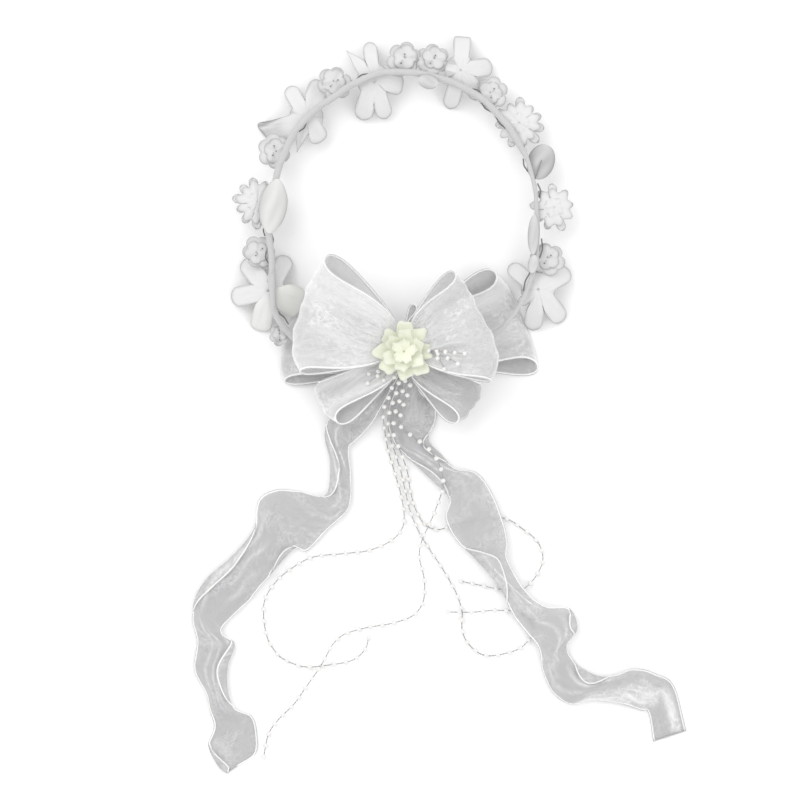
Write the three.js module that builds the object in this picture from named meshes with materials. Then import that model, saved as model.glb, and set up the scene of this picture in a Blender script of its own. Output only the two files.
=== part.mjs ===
// A flower hair wreath that lies flat: an oval ring of taped wire with fabric flowers, an organza bow with
// a cream flower, two organza tails and four pearl strands. Millimetres, +Z up, +Y towards the wreath's top.
import * as THREE from 'three';

// Driving sizes
const RING_RADIUS = 85;
const RING_TUBE = 4.6;
const RING_HEIGHT = 18;
const PETAL_WALL = 1.5;
const FLOWER_RADIUS = 25;
const FLOWER_SAG = 0.6;
const DAISY_RADIUS = 17;
const DAISY_DROOP = 4.2;
const BLOSSOM_RADIUS = 9;
const BLOSSOM_RUFFLE = 1.3;
const CENTRE_FLOWER_RADIUS = 18;
const CENTRE_FLOWER_RISE = 9;
const RIBBON_WIDTH = 60;
const RIBBON_WALL = 1;
const RIBBON_NECK = 6;
const LOOP_REACH = 66;
const LOOP_RISE = 24;
const LOOP_CORNER = 0.08;
const KNOT_RADIUS = 7;
const TAIL_LEFT_DROP = 260;
const TAIL_RIGHT_DROP = 240;
const STRAND_WIDTH = 3;
const STRAND_STEP = 9;

// Fits between pieces, and between a petal's tip and the surface below
const CLEARANCE = 0.3;
const TIP_GAP = 0.2;

// Where the notches between petals end, as shares of each flower's radius, and the breadth of a leaf's ends
const FLOWER_NOTCH = 0.42;
const DAISY_NOTCH = 0.58;
const CENTRE_NOTCH = 0.6;
const LEAF_END = 0.12;

// A blossom's rim: waves round it, points for each wave and how far the rim's dips reach
const BLOSSOM_WAVES = 4;
const BLOSSOM_WAVE_POINTS = 4;
const BLOSSOM_DIP = 0.82;

// How a loop opens out from its neck in width and in height, and how a cream petal rises with its reach, as
// powers: below 1 starts steep, above 1 starts flat
const LOOP_FLARE = 0.45;
const LOOP_SWELL = 0.5;
const CREAM_FLARE = 1.5;

// Cells of a loop along and across its ribbon, and of a tail across it
const LOOP_CELLS = { along: 14, across: 3 };
const TAIL_CELLS = 4;

// The small hole in the middle of every bloom, and the cells from there to a petal's tip
const HUB = 1;
const PETAL_CELLS = 2;

// The oval of the ring, anticlockwise from +X: reach is a share of RING_RADIUS
const RING_SHAPE = [
  { angle: 0, reach: 0.963 },
  { angle: 20, reach: 0.977 },
  { angle: 40, reach: 0.996 },
  { angle: 60, reach: 1.026 },
  { angle: 80, reach: 1.038 },
  { angle: 100, reach: 1.052 },
  { angle: 120, reach: 1.007 },
  { angle: 140, reach: 1.003 },
  { angle: 160, reach: 0.97 },
  { angle: 180, reach: 0.977 },
  { angle: 200, reach: 1.017 },
  { angle: 218, reach: 1.17 },
  { angle: 234, reach: 1.16 },
  { angle: 252, reach: 1.02 },
  { angle: 270, reach: 0.977 },
  { angle: 288, reach: 1.01 },
  { angle: 306, reach: 1.07 },
  { angle: 322, reach: 1.055 },
  { angle: 340, reach: 1.01 },
];

// Five-petal flowers: angle on the ring, out from the tube's middle (share of FLOWER_RADIUS), size (share
// of FLOWER_RADIUS), and a row for each petal with its aim, reach and half spread in degrees
const FLOWERS = [
  {
    name: 'flower_1', angle: 208.6, out: 0.1, size: 1,
    petals: [
      { aim: 62, reach: 0.98, half: 17 },
      { aim: 128, reach: 1, half: 19 },
      { aim: 190, reach: 0.95, half: 19 },
      { aim: 256, reach: 1, half: 17 },
      { aim: 338, reach: 0.85, half: 26 },
    ],
  },
  {
    name: 'flower_2', angle: 134.4, out: 0.03, size: 1,
    petals: [
      { aim: 8, reach: 0.6, half: 14 },
      { aim: 70, reach: 1, half: 16 },
      { aim: 120, reach: 0.86, half: 16 },
      { aim: 189, reach: 1, half: 16 },
      { aim: 270, reach: 0.82, half: 26 },
    ],
  },
  {
    name: 'flower_3', angle: 102.4, out: -0.12, size: 1,
    petals: [
      { aim: 5, reach: 0.65, half: 20 },
      { aim: 97, reach: 1, half: 12 },
      { aim: 130, reach: 1.05, half: 7 },
      { aim: 251, reach: 0.98, half: 17 },
      { aim: 288, reach: 0.95, half: 14 },
    ],
  },
  {
    name: 'flower_4', angle: 68.9, out: 0.36, size: 0.92,
    petals: [
      { aim: 9, reach: 0.87, half: 20 },
      { aim: 86, reach: 0.95, half: 21 },
      { aim: 165, reach: 0.42, half: 18 },
      { aim: 253, reach: 1.02, half: 16 },
      { aim: 308, reach: 0.9, half: 18 },
    ],
  },
  {
    name: 'flower_5', angle: 331.6, out: 0.25, size: 1,
    petals: [
      { aim: 30, reach: 0.93, half: 19 },
      { aim: 139, reach: 0.92, half: 14 },
      { aim: 218, reach: 0.6, half: 14 },
      { aim: 263, reach: 1, half: 17 },
      { aim: 309, reach: 1, half: 17 },
    ],
  },
];

// Many-petal flowers, with out and size as shares of DAISY_RADIUS
const DAISIES = [
  { name: 'daisy_1', angle: 174.4, out: 0.45, size: 1, petals: 11, turn: 4 },
  { name: 'daisy_2', angle: 39.2, out: 0.4, size: 1, petals: 11, turn: 20 },
  { name: 'daisy_3', angle: 3.5, out: 0.6, size: 0.92, petals: 9, turn: 12 },
];

// Ruffled blossoms, with out and size as shares of BLOSSOM_RADIUS
const BLOSSOMS = [
  { name: 'blossom_1', angle: 117.5, out: 0.75, size: 1, turn: 0 },
  { name: 'blossom_2', angle: 90.2, out: 0.95, size: 1, turn: 30 },
  { name: 'blossom_3', angle: 79.6, out: 1.15, size: 0.95, turn: 10 },
  { name: 'blossom_4', angle: 54.5, out: 0.8, size: 0.95, turn: 25 },
  { name: 'blossom_5', angle: 153, out: 0.72, size: 1, turn: 40 },
  { name: 'blossom_6', angle: 193.5, out: 0.75, size: 0.95, turn: 5 },
  { name: 'blossom_7', angle: 343.5, out: 0.8, size: 1, turn: 15 },
  { name: 'blossom_8', angle: 223.5, out: 0.75, size: 0.62, turn: 50 },
];

// Leaves and buds, with out, long, wide and bow (how far the sides hang) as shares of FLOWER_RADIUS; over
// ones lie on top of the tube
const LEAVES = [
  { name: 'leaf_1', angle: 175.5, out: -0.09, long: 1.36, wide: 0.68, bow: 0.05, turn: 81, over: true },
  { name: 'leaf_2', angle: 21.9, out: 0.31, long: 0.88, wide: 0.66, bow: 0.05, turn: 70, over: false },
  { name: 'leaf_3', angle: 352, out: -0.12, long: 0.98, wide: 0.28, bow: 0, turn: 88, over: true },
  { name: 'leaf_4', angle: 339.8, out: -0.05, long: 0.44, wide: 0.26, bow: 0, turn: 80, over: true },
  { name: 'leaf_5', angle: 79.8, out: -0.16, long: 0.5, wide: 0.36, bow: 0, turn: 165, over: true },
];

// The bow's loops. tie: where the neck meets the knot, as a turn about it; climb: as a rise, in degrees. aim
// and slope: the loop's way out and its mean rise. reach, width and rise: shares of LOOP_REACH, RIBBON_WIDTH
// and LOOP_RISE. lean: how much farther out the end's first corner is. curl: turn of one side's edge in
// degrees, of the other side where negative.
const LOOPS = [
  {
    name: 'bow_loop_left_front', tie: 157, climb: 45, aim: 155, slope: 16,
    reach: 1.07, width: 1.18, rise: 1, lean: 0, curl: -25,
  },
  {
    name: 'bow_loop_left_back', tie: 181, climb: -50, aim: 180, slope: -8.3,
    reach: 1.16, width: 0.72, rise: 0.26, lean: 0, curl: 10,
  },
  {
    name: 'bow_loop_left_low', tie: 240, climb: -5, aim: 209, slope: -0.5,
    reach: 0.94, width: 0.46, rise: 0.38, lean: 0, curl: 30,
  },
  {
    name: 'bow_loop_right_front', tie: 20, climb: 47, aim: 20, slope: 19,
    reach: 0.84, width: 1.16, rise: 1, lean: -0.12, curl: 20,
  },
  {
    name: 'bow_loop_right_back', tie: 8, climb: -50, aim: 11, slope: -8,
    reach: 1.18, width: 1.16, rise: 0.26, lean: -0.24, curl: 35,
  },
  {
    name: 'bow_loop_right_low', tie: 300, climb: -5, aim: 326, slope: -0.5,
    reach: 0.84, width: 0.48, rise: 0.38, lean: 0, curl: -30,
  },
  {
    name: 'bow_loop_right_inner', tie: 75, climb: -5, aim: 54, slope: 0,
    reach: 0.44, width: 0.3, rise: 0.25, lean: 0, curl: 0,
  },
];

// The tails, from the knot to the cut end. x and y: shares of the tail's drop. width: share of
// RIBBON_WIDTH. turn: way across the ribbon, in degrees. lift and crown: shares of RIBBON_WIDTH.
const TAIL_LEFT = [
  { x: -0.014, y: -0.036, width: 0.12, turn: -10, lift: 0.2, crown: 0 },
  { x: -0.095, y: -0.143, width: 0.28, turn: -48, lift: 0.07, crown: 0.04 },
  { x: -0.145, y: -0.182, width: 0.37, turn: -48, lift: 0.05, crown: 0.1 },
  { x: -0.16, y: -0.216, width: 0.28, turn: -28, lift: 0.03, crown: 0.12 },
  { x: -0.151, y: -0.281, width: 0.26, turn: -34, lift: 0.03, crown: 0.1 },
  { x: -0.159, y: -0.356, width: 0.27, turn: -29, lift: 0.03, crown: 0.12 },
  { x: -0.216, y: -0.377, width: 0.5, turn: -53, lift: 0.03, crown: 0.09 },
  { x: -0.268, y: -0.401, width: 0.71, turn: -63, lift: 0.02, crown: 0.05 },
  { x: -0.304, y: -0.411, width: 0.62, turn: -54, lift: 0.03, crown: 0.08 },
  { x: -0.34, y: -0.479, width: 0.52, turn: -73, lift: 0.03, crown: 0.1 },
  { x: -0.379, y: -0.527, width: 0.44, turn: -53, lift: 0.04, crown: 0.08 },
  { x: -0.418, y: -0.565, width: 0.49, turn: -30, lift: 0.03, crown: 0.12 },
  { x: -0.463, y: -0.619, width: 0.41, turn: -42, lift: 0.03, crown: 0.1 },
  { x: -0.467, y: -0.659, width: 0.34, turn: -23, lift: 0.04, crown: 0.06 },
  { x: -0.448, y: -0.694, width: 0.39, turn: -3, lift: 0.03, crown: 0.1 },
  { x: -0.46, y: -0.753, width: 0.35, turn: 7, lift: 0.03, crown: 0.08 },
  { x: -0.446, y: -0.809, width: 0.23, turn: 3, lift: 0.04, crown: 0.1 },
  { x: -0.433, y: -0.851, width: 0.26, turn: 5, lift: 0.03, crown: 0.06 },
  { x: -0.408, y: -0.881, width: 0.41, turn: 16, lift: 0, crown: 0 },
  { x: -0.408, y: -0.923, width: 0.52, turn: 16, lift: 0, crown: 0 },
  { x: -0.398, y: -0.972, width: 0.41, turn: 19, lift: 0, crown: 0 },
  { x: -0.411, y: -0.995, width: 0.13, turn: 32, lift: 0, crown: 0 },
];
const TAIL_RIGHT = [
  { x: 0.016, y: -0.039, width: 0.12, turn: 0, lift: 0.2, crown: 0 },
  { x: 0.008, y: -0.105, width: 0.29, turn: 6, lift: 0.1, crown: 0.04 },
  { x: 0.019, y: -0.146, width: 0.49, turn: 8, lift: 0.04, crown: 0.08 },
  { x: 0.021, y: -0.191, width: 0.49, turn: 10, lift: 0.02, crown: 0.09 },
  { x: 0.021, y: -0.234, width: 0.34, turn: 12, lift: 0.03, crown: 0.08 },
  { x: 0.054, y: -0.27, width: 0.35, turn: 5, lift: 0.03, crown: 0.06 },
  { x: 0.097, y: -0.311, width: 0.29, turn: 18, lift: 0.04, crown: 0.06 },
  { x: 0.151, y: -0.344, width: 0.39, turn: 44, lift: 0.06, crown: 0.05 },
  { x: 0.164, y: -0.391, width: 0.55, turn: 33, lift: 0.08, crown: 0.06 },
  { x: 0.19, y: -0.448, width: 0.54, turn: 31, lift: 0.08, crown: 0.07 },
  { x: 0.222, y: -0.504, width: 0.4, turn: 28, lift: 0.08, crown: 0.1 },
  { x: 0.24, y: -0.55, width: 0.25, turn: 35, lift: 0.09, crown: 0.1 },
  { x: 0.279, y: -0.611, width: 0.25, turn: -2, lift: 0.09, crown: 0.08 },
  { x: 0.324, y: -0.669, width: 0.34, turn: 18, lift: 0.08, crown: 0.08 },
  { x: 0.371, y: -0.693, width: 0.51, turn: 29, lift: 0.08, crown: 0.06 },
  { x: 0.397, y: -0.739, width: 0.45, turn: 27, lift: 0.07, crown: 0.08 },
  { x: 0.389, y: -0.789, width: 0.36, turn: 45, lift: 0.03, crown: 0.1 },
  { x: 0.413, y: -0.84, width: 0.38, turn: 49, lift: 0.03, crown: 0.1 },
  { x: 0.463, y: -0.872, width: 0.41, turn: 46, lift: 0.02, crown: 0.1 },
  { x: 0.514, y: -0.867, width: 0.34, turn: 49, lift: 0.03, crown: 0.1 },
  { x: 0.578, y: -0.863, width: 0.39, turn: 70, lift: 0.03, crown: 0.08 },
  { x: 0.629, y: -0.877, width: 0.41, turn: 68, lift: 0.02, crown: 0.05 },
  { x: 0.664, y: -0.897, width: 0.39, turn: 47, lift: 0, crown: 0 },
  { x: 0.686, y: -0.991, width: 0.36, turn: 18, lift: 0, crown: 0 },
];

// The pearl strands' routes, chosen points in millimetres from the knot's middle in x and y, z from the
// surface that the wreath lies on
const STRAND_ROUTES = {
  pearl_strand_1: [
    [4.8, -6.5, 22], [4.6, -16, 22], [2, -27, 16], [-1.5, -36, 10.5], [-2, -46, 9.7], [5, -52, 9.5],
    [13, -58, 9.5], [20, -66, 10.5], [23.5, -75, 11.4], [24, -84, 8.6], [20.5, -95, 4.5], [16, -106, 5.4],
    [11, -117, 5.4], [9.5, -127, 3.5], [12.5, -141, 1.85], [12, -154, 1.85], [6, -163, 1.85], [-7, -168, 1.85],
    [-24, -171, 1.85], [-37, -175, 1.85], [-44, -181, 2.5], [-49, -190, 5], [-54, -198, 5], [-61, -208, 2],
    [-68, -218, 1.85], [-78, -228, 1.85], [-84, -237, 1.85], [-87, -251, 1.85],
  ],
  pearl_strand_2: [
    [-5.4, -6.5, 22.2], [-6, -16, 22.4], [-9, -27, 16.5], [-12.8, -36, 10], [-12, -48, 3.6], [-10, -60, 1.9],
    [-6, -74, 1.85], [-2, -88, 1.85], [0, -100, 1.85], [-1, -109, 1.85], [-8, -117, 1.85], [-22, -123, 1.85],
    [-38, -125, 1.85], [-56, -127, 1.85], [-68, -133, 1.85], [-79, -142, 1.85], [-86, -153, 1.85], [-87, -164, 1.85],
    [-85, -176, 1.85], [-81, -184, 1.85], [-75, -190, 1.85], [-62, -195, 1.85], [-47, -194, 1.85], [-32, -191, 1.85],
    [-24, -184, 1.85], [-22, -177, 1.85],
  ],
  pearl_strand_3: [
    [1.4, -7, 22], [1, -16, 22], [-1.6, -27, 16], [-5.2, -37, 10.5], [-6.5, -50, 9], [-2, -62, 6],
    [2, -74, 1.85], [4, -86, 1.85], [7, -97, 1.85], [13, -107, 1.85], [21, -110, 1.85], [29, -108, 1.85],
    [45, -104, 1.85], [62, -103, 1.85], [74, -110, 1.85], [83, -118, 1.85], [86, -129, 1.85], [81, -140, 1.85],
    [73, -147, 1.85], [60, -147, 1.85], [47, -144.5, 1.85], [35, -142, 1.85],
  ],
  pearl_strand_4: [
    [-2, -7, 22], [-2.6, -16, 22], [-5.3, -27, 16], [-9, -37, 10], [-9.5, -49, 5.5], [-6, -61, 2.2],
    [-2, -74, 1.85], [1, -87, 1.85], [4, -99, 1.85], [9, -111, 1.85], [15, -121, 1.85], [23, -133, 1.85],
    [29, -143, 1.85], [33, -151, 1.85], [36, -161, 1.85], [36, -172, 1.85], [40, -181, 1.85], [50, -188, 1.85],
    [64, -186.5, 1.85], [74, -182, 1.85], [80, -172, 1.85], [73, -162, 1.85], [58, -160, 3], [43, -161, 5],
    [27, -161, 4],
  ],
};

const WHITE_CLOTH = { color: 0xf0f0f0, roughness: 0.85, metalness: 0 };
const ORGANZA = { color: 0xdedee0, roughness: 0.6, metalness: 0 };
const CREAM_CLOTH = { color: 0xf3f5e0, roughness: 0.85, metalness: 0 };
const TAPE = { color: 0xe4e4e4, roughness: 0.9, metalness: 0 };
const PEARL = { color: 0xf4f1ea, roughness: 0.3, metalness: 0 };

const UP = new THREE.Vector3(0, 0, 1);
const radians = THREE.MathUtils.degToRad;
const lerp = THREE.MathUtils.lerp;

const group = new THREE.Group();

function add(name, geometry, finish) {
  const mesh = new THREE.Mesh(geometry, new THREE.MeshStandardMaterial(finish));
  mesh.name = name;
  group.add(mesh);
}

function polar(angle, reach, z = 0) {
  return new THREE.Vector3(Math.cos(radians(angle)) * reach, Math.sin(radians(angle)) * reach, z);
}

// The ring
const ringCurve = new THREE.CatmullRomCurve3(
  RING_SHAPE.map(({ angle, reach }) => polar(angle, reach * RING_RADIUS, RING_HEIGHT)),
  true,
);

// The tube's middle in a given direction from the wreath's middle
function ringReach(angle) {
  const rows = [...RING_SHAPE, { angle: 360, reach: RING_SHAPE[0].reach }];
  const next = rows.findIndex((row) => row.angle > angle);
  const [low, high] = [rows[next - 1], rows[next]];
  const share = (angle - low.angle) / (high.angle - low.angle);
  return lerp(low.reach, high.reach, share) * RING_RADIUS;
}

const tubeRadius = RING_TUBE / 2;
const tubeTop = RING_HEIGHT + tubeRadius;
const tubeFoot = RING_HEIGHT - tubeRadius;
const knot = polar(270, RING_SHAPE.find(({ angle }) => angle === 270).reach * RING_RADIUS, RING_HEIGHT);

// Closed cloth from a grid of points, with a wall about it. A joined grid runs round on itself in u.
function clothGeometry(pointAt, cellsU, cellsV, wall, { joined = false, wallWay = null } = {}) {
  const columns = joined ? cellsU : cellsU + 1;
  const rows = cellsV + 1;
  const middle = [];
  for (let i = 0; i < columns; i += 1) {
    for (let j = 0; j < rows; j += 1) middle.push(pointAt(i / cellsU, j / cellsV, i, j));
  }
  const at = (i, j) => {
    const column = joined ? (i + columns) % columns : THREE.MathUtils.clamp(i, 0, columns - 1);
    return column * rows + THREE.MathUtils.clamp(j, 0, rows - 1);
  };
  const positions = [];
  for (const side of [0.5, -0.5]) {
    for (let i = 0; i < columns; i += 1) {
      for (let j = 0; j < rows; j += 1) {
        const along = middle[at(i + 1, j)].clone().sub(middle[at(i - 1, j)]);
        const across = middle[at(i, j + 1)].clone().sub(middle[at(i, j - 1)]);
        const way = wallWay ?? along.cross(across).normalize();
        positions.push(...middle[at(i, j)].clone().addScaledVector(way, side * wall));
      }
    }
  }
  const back = columns * rows;
  const faces = [];
  const quad = (a, b, c, d) => faces.push(a, b, c, a, c, d);
  const lastU = joined ? columns : columns - 1;
  for (let i = 0; i < lastU; i += 1) {
    for (let j = 0; j < rows - 1; j += 1) {
      const [a, b, c, d] = [at(i, j), at(i + 1, j), at(i + 1, j + 1), at(i, j + 1)];
      quad(a, b, c, d);
      quad(back + d, back + c, back + b, back + a);
    }
    const [foot, footNext, rim, rimNext] = [at(i, 0), at(i + 1, 0), at(i, rows - 1), at(i + 1, rows - 1)];
    quad(back + foot, back + footNext, footNext, foot);
    quad(rim, rimNext, back + rimNext, back + rim);
  }
  if (!joined) {
    for (let j = 0; j < rows - 1; j += 1) {
      const [start, startNext, end, endNext] = [at(0, j), at(0, j + 1), at(columns - 1, j), at(columns - 1, j + 1)];
      quad(start, startNext, back + startNext, back + start);
      quad(back + end, back + endNext, endNext, end);
    }
  }
  return facingOut(positions, faces);
}

// A closed mesh whose faces look outwards
function facingOut(positions, faces) {
  const corner = (index) => new THREE.Vector3().fromArray(positions, faces[index] * 3);
  let volume = 0;
  for (let k = 0; k < faces.length; k += 3) volume += corner(k).dot(corner(k + 1).cross(corner(k + 2)));
  if (volume < 0) faces.reverse();
  const geometry = new THREE.BufferGeometry();
  geometry.setAttribute('position', new THREE.Float32BufferAttribute(positions, 3));
  geometry.setIndex(faces);
  return geometry;
}

// The middle of a bloom that is tied at the ring
function seatOf({ angle, out }, radius) {
  return polar(angle, ringReach(angle) + out * radius);
}

// A flower whose rim is a list of { angle, reach } and whose height follows the reach
function bloomGeometry(centre, rim, radius, heightAt) {
  const pointAt = (u, v, i) => {
    const { angle, reach } = rim[i];
    const distance = lerp(HUB, reach * radius, v);
    return polar(angle, distance).add(centre).setZ(heightAt(distance / radius, angle));
  };
  return clothGeometry(pointAt, rim.length, PETAL_CELLS, PETAL_WALL, { joined: true, wallWay: UP });
}

// Petals as rounded paddles between deep notches
const PADDLE = [
  { spread: -1.05, reach: 0 },
  { spread: -0.95, reach: 0.8 },
  { spread: -0.55, reach: 0.97 },
  { spread: 0, reach: 1 },
  { spread: 0.55, reach: 0.97 },
  { spread: 0.95, reach: 0.8 },
  { spread: 1.05, reach: 0 },
];
const NARROW_PETAL = [
  { spread: -1, reach: 0 },
  { spread: -0.5, reach: 0.98 },
  { spread: 0.5, reach: 0.98 },
];

function petalRim(petals, shape, notch) {
  return petals.flatMap(({ aim, reach, half }) => shape.map((corner) => ({
    angle: aim + corner.spread * half,
    reach: Math.max(corner.reach * reach, notch),
  })));
}

// The height of the cloth at the middle of a bloom that droops to the surface and passes just below the tube
function hubHeight(out) {
  const seat = PETAL_WALL / 2 + TIP_GAP;
  return (tubeFoot - CLEARANCE - PETAL_WALL / 2 - out ** 2 * seat) / (1 - out ** 2);
}

function addFlower({ name, angle, out, size, petals }) {
  const radius = FLOWER_RADIUS * size;
  const centre = seatOf({ angle, out }, FLOWER_RADIUS);
  const tip = PETAL_WALL / 2 + TIP_GAP;
  const share = out / size;
  const longest = Math.max(...petals.map(({ reach }) => reach));
  const top = hubHeight(share / longest) - FLOWER_SAG;
  const heightAt = (reach) => top - (top - tip) * (reach / longest) ** 2;
  add(name, bloomGeometry(centre, petalRim(petals, PADDLE, FLOWER_NOTCH), radius, heightAt), WHITE_CLOTH);
}

function addDaisy({ name, angle, out, size, petals, turn }) {
  const radius = DAISY_RADIUS * size;
  const centre = seatOf({ angle, out }, DAISY_RADIUS);
  const step = 360 / petals;
  const rows = Array.from({ length: petals }, (_, k) => ({ aim: turn + k * step, reach: 1, half: step / 2 }));
  const droop = DAISY_DROOP * size;
  const top = tubeFoot - CLEARANCE - PETAL_WALL / 2 + droop * (out / size) ** 2;
  const heightAt = (reach) => top - droop * reach ** 2;
  add(name, bloomGeometry(centre, petalRim(rows, NARROW_PETAL, DAISY_NOTCH), radius, heightAt), WHITE_CLOTH);
}

function addBlossom({ name, angle, out, size, turn }) {
  const radius = BLOSSOM_RADIUS * size;
  const centre = seatOf({ angle, out }, BLOSSOM_RADIUS);
  const samples = BLOSSOM_WAVES * BLOSSOM_WAVE_POINTS;
  const rim = Array.from({ length: samples }, (_, k) => ({
    angle: turn + (k * 360) / samples,
    reach: k % BLOSSOM_WAVE_POINTS === 0 ? BLOSSOM_DIP : 1,
  }));
  const top = tubeFoot - CLEARANCE - PETAL_WALL / 2 - BLOSSOM_RUFFLE;
  const heightAt = (reach, at) => top + BLOSSOM_RUFFLE * reach * Math.cos(radians((at - turn) * BLOSSOM_WAVES));
  add(name, bloomGeometry(centre, rim, radius, heightAt), WHITE_CLOTH);
}

// A leaf bowed across the tube, above or below it
function addLeaf({ name, angle, out, long, wide, bow, turn, over }) {
  const centre = seatOf({ angle, out }, FLOWER_RADIUS);
  const along = polar(turn, (long * FLOWER_RADIUS) / 2);
  const across = polar(turn + 90, (wide * FLOWER_RADIUS) / 2);
  const gap = CLEARANCE + PETAL_WALL / 2;
  const height = over ? tubeTop + gap : tubeFoot - gap;
  const pointAt = (u, v) => {
    const [s, t] = [2 * u - 1, 2 * v - 1];
    const breadth = lerp(LEAF_END, 1, Math.sqrt(1 - s * s));
    const point = centre.clone().addScaledVector(along, s).addScaledVector(across, t * breadth);
    return point.setZ(height - bow * FLOWER_RADIUS * (t * breadth) ** 2);
  };
  add(name, clothGeometry(pointAt, 6, 2, PETAL_WALL, { wallWay: UP }), WHITE_CLOTH);
}

// One loop of the bow: a strip that leaves the knot, swells out and comes back to it
function addLoop({ name, tie, climb, aim, slope, reach, width, rise, lean, curl }) {
  const out = polar(aim, 1);
  const side = polar(aim + 90, 1);
  const neckReach = KNOT_RADIUS + CLEARANCE + RIBBON_WALL;
  const neck = knot.clone()
    .addScaledVector(polar(tie, 1), Math.cos(radians(climb)) * neckReach)
    .addScaledVector(UP, Math.sin(radians(climb)) * neckReach);
  const far = reach * LOOP_REACH - neckReach;
  const pointAt = (u, v) => {
    const turn = 2 * Math.PI * u;
    const away = (1 - Math.cos(turn)) / 2;
    const across = 2 * v - 1;
    const spread = across * lerp(RIBBON_NECK, width * RIBBON_WIDTH, away ** LOOP_FLARE) / 2;
    const opened = (rise * LOOP_RISE / 2) * Math.sin(turn) * away ** LOOP_SWELL;
    const swell = opened + RIBBON_WALL * Math.cos(turn / 2);
    const curled = Math.max(across * Math.sign(curl), 0) * radians(curl) * away;
    const lift = Math.abs(spread) * Math.sin(Math.abs(curled) / 2);
    return neck.clone()
      .addScaledVector(out, far * away * (1 - LOOP_CORNER * across ** 4) + lean * spread * away)
      .addScaledVector(side, spread * Math.cos(curled / 2) - swell * Math.sin(curled))
      .addScaledVector(UP, lift + swell * Math.cos(curled) + far * away * Math.tan(radians(slope)));
  };
  add(name, clothGeometry(pointAt, LOOP_CELLS.along, LOOP_CELLS.across, RIBBON_WALL), ORGANZA);
}

// A tail: its rows joined by smooth lines, with a crown along its middle
function addTail(name, rows, drop) {
  const middle = new THREE.CatmullRomCurve3(rows.map(({ x, y, lift }) => new THREE.Vector3(
    knot.x + x * drop, knot.y + y * drop, lift * RIBBON_WIDTH + RIBBON_WALL / 2,
  )));
  const spread = new THREE.CatmullRomCurve3(rows.map(({ width, turn, crown }) => polar(
    turn, (width * RIBBON_WIDTH) / 2, crown * RIBBON_WIDTH,
  )));
  const pointAt = (u, v) => {
    const t = 2 * v - 1;
    const half = spread.getPoint(u);
    return middle.getPoint(u)
      .addScaledVector(new THREE.Vector3(half.x, half.y, 0), t)
      .addScaledVector(UP, Math.max(half.z, 0) * (1 - t * t));
  };
  add(name, clothGeometry(pointAt, rows.length - 1, TAIL_CELLS, RIBBON_WALL), ORGANZA);
}

function circleShape(radius, sides) {
  const corners = Array.from({ length: sides }, (_, k) => polar((k * 360) / sides, radius));
  return new THREE.Shape(corners.map(({ x, y }) => new THREE.Vector2(x, y)));
}

function addStrand(name, route) {
  const path = new THREE.CatmullRomCurve3(route.map(([x, y, z]) => new THREE.Vector3(knot.x + x, knot.y + y, z)));
  const steps = Math.round(path.getLength() / STRAND_STEP);
  const geometry = new THREE.ExtrudeGeometry(circleShape(STRAND_WIDTH / 2, 8), {
    steps, extrudePath: path, bevelEnabled: false,
  });
  add(name, geometry, PEARL);
}

// The knot: a ball round the ring's tube
function addKnot() {
  const bore = tubeRadius + CLEARANCE;
  const start = Math.asin(bore / KNOT_RADIUS);
  const stations = 6;
  const profile = Array.from({ length: stations + 1 }, (_, k) => {
    const turn = lerp(Math.PI - start, start, k / stations);
    return new THREE.Vector2(KNOT_RADIUS * Math.sin(turn), KNOT_RADIUS * Math.cos(turn));
  });
  const geometry = new THREE.LatheGeometry([...profile, profile[0].clone()], 16);
  geometry.rotateZ(Math.PI / 2).translate(knot.x, knot.y, knot.z);
  add('bow_knot', geometry, ORGANZA);
}

// The cream flower: three cupped layers, one in another, on the knot
const CENTRE_LAYERS = [
  { name: 'centre_flower_outer', petals: 8, size: 1, rise: 1.1, turn: 0, level: 0 },
  { name: 'centre_flower_middle', petals: 6, size: 0.72, rise: 1.25, turn: 24, level: 1 },
  { name: 'centre_flower_inner', petals: 5, size: 0.42, rise: 1.1, turn: 8, level: 2 },
];

function addCentreLayer({ name, petals, size, rise, turn, level }) {
  const radius = CENTRE_FLOWER_RADIUS * size;
  const step = 360 / petals;
  const rows = Array.from({ length: petals }, (_, k) => ({ aim: turn + k * step, reach: 1, half: step / 2 }));
  const foot = knot.z + KNOT_RADIUS + CLEARANCE + PETAL_WALL / 2 + level * (PETAL_WALL + CLEARANCE);
  const heightAt = (reach) => foot + rise * CENTRE_FLOWER_RISE * reach ** CREAM_FLARE;
  const centre = knot.clone().setZ(0);
  add(name, bloomGeometry(centre, petalRim(rows, NARROW_PETAL, CENTRE_NOTCH), radius, heightAt), CREAM_CLOTH);
}

add('wreath_ring', new THREE.TubeGeometry(ringCurve, 60, tubeRadius, 8, true), TAPE);
FLOWERS.forEach(addFlower);
DAISIES.forEach(addDaisy);
BLOSSOMS.forEach(addBlossom);
LEAVES.forEach(addLeaf);
addKnot();
LOOPS.forEach(addLoop);
CENTRE_LAYERS.forEach(addCentreLayer);
addTail('tail_left', TAIL_LEFT, TAIL_LEFT_DROP);
addTail('tail_right', TAIL_RIGHT, TAIL_RIGHT_DROP);
Object.entries(STRAND_ROUTES).forEach(([name, route]) => addStrand(name, route));

// The origin is the middle of the underside of the whole wreath's bounding box
const bounds = new THREE.Box3().setFromObject(group);
const middle = bounds.getCenter(new THREE.Vector3());
group.position.set(-middle.x, -middle.y, -bounds.min.z);

export default group;
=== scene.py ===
"""The looks of a flower hair wreath that lies flat: a taped ring, fabric flowers, an organza bow with a cream
flower, two organza tails and strings of pearls.

Shapes are worked out in millimetres about the ring's middle, and in_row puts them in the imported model's frame."""

import math

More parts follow.
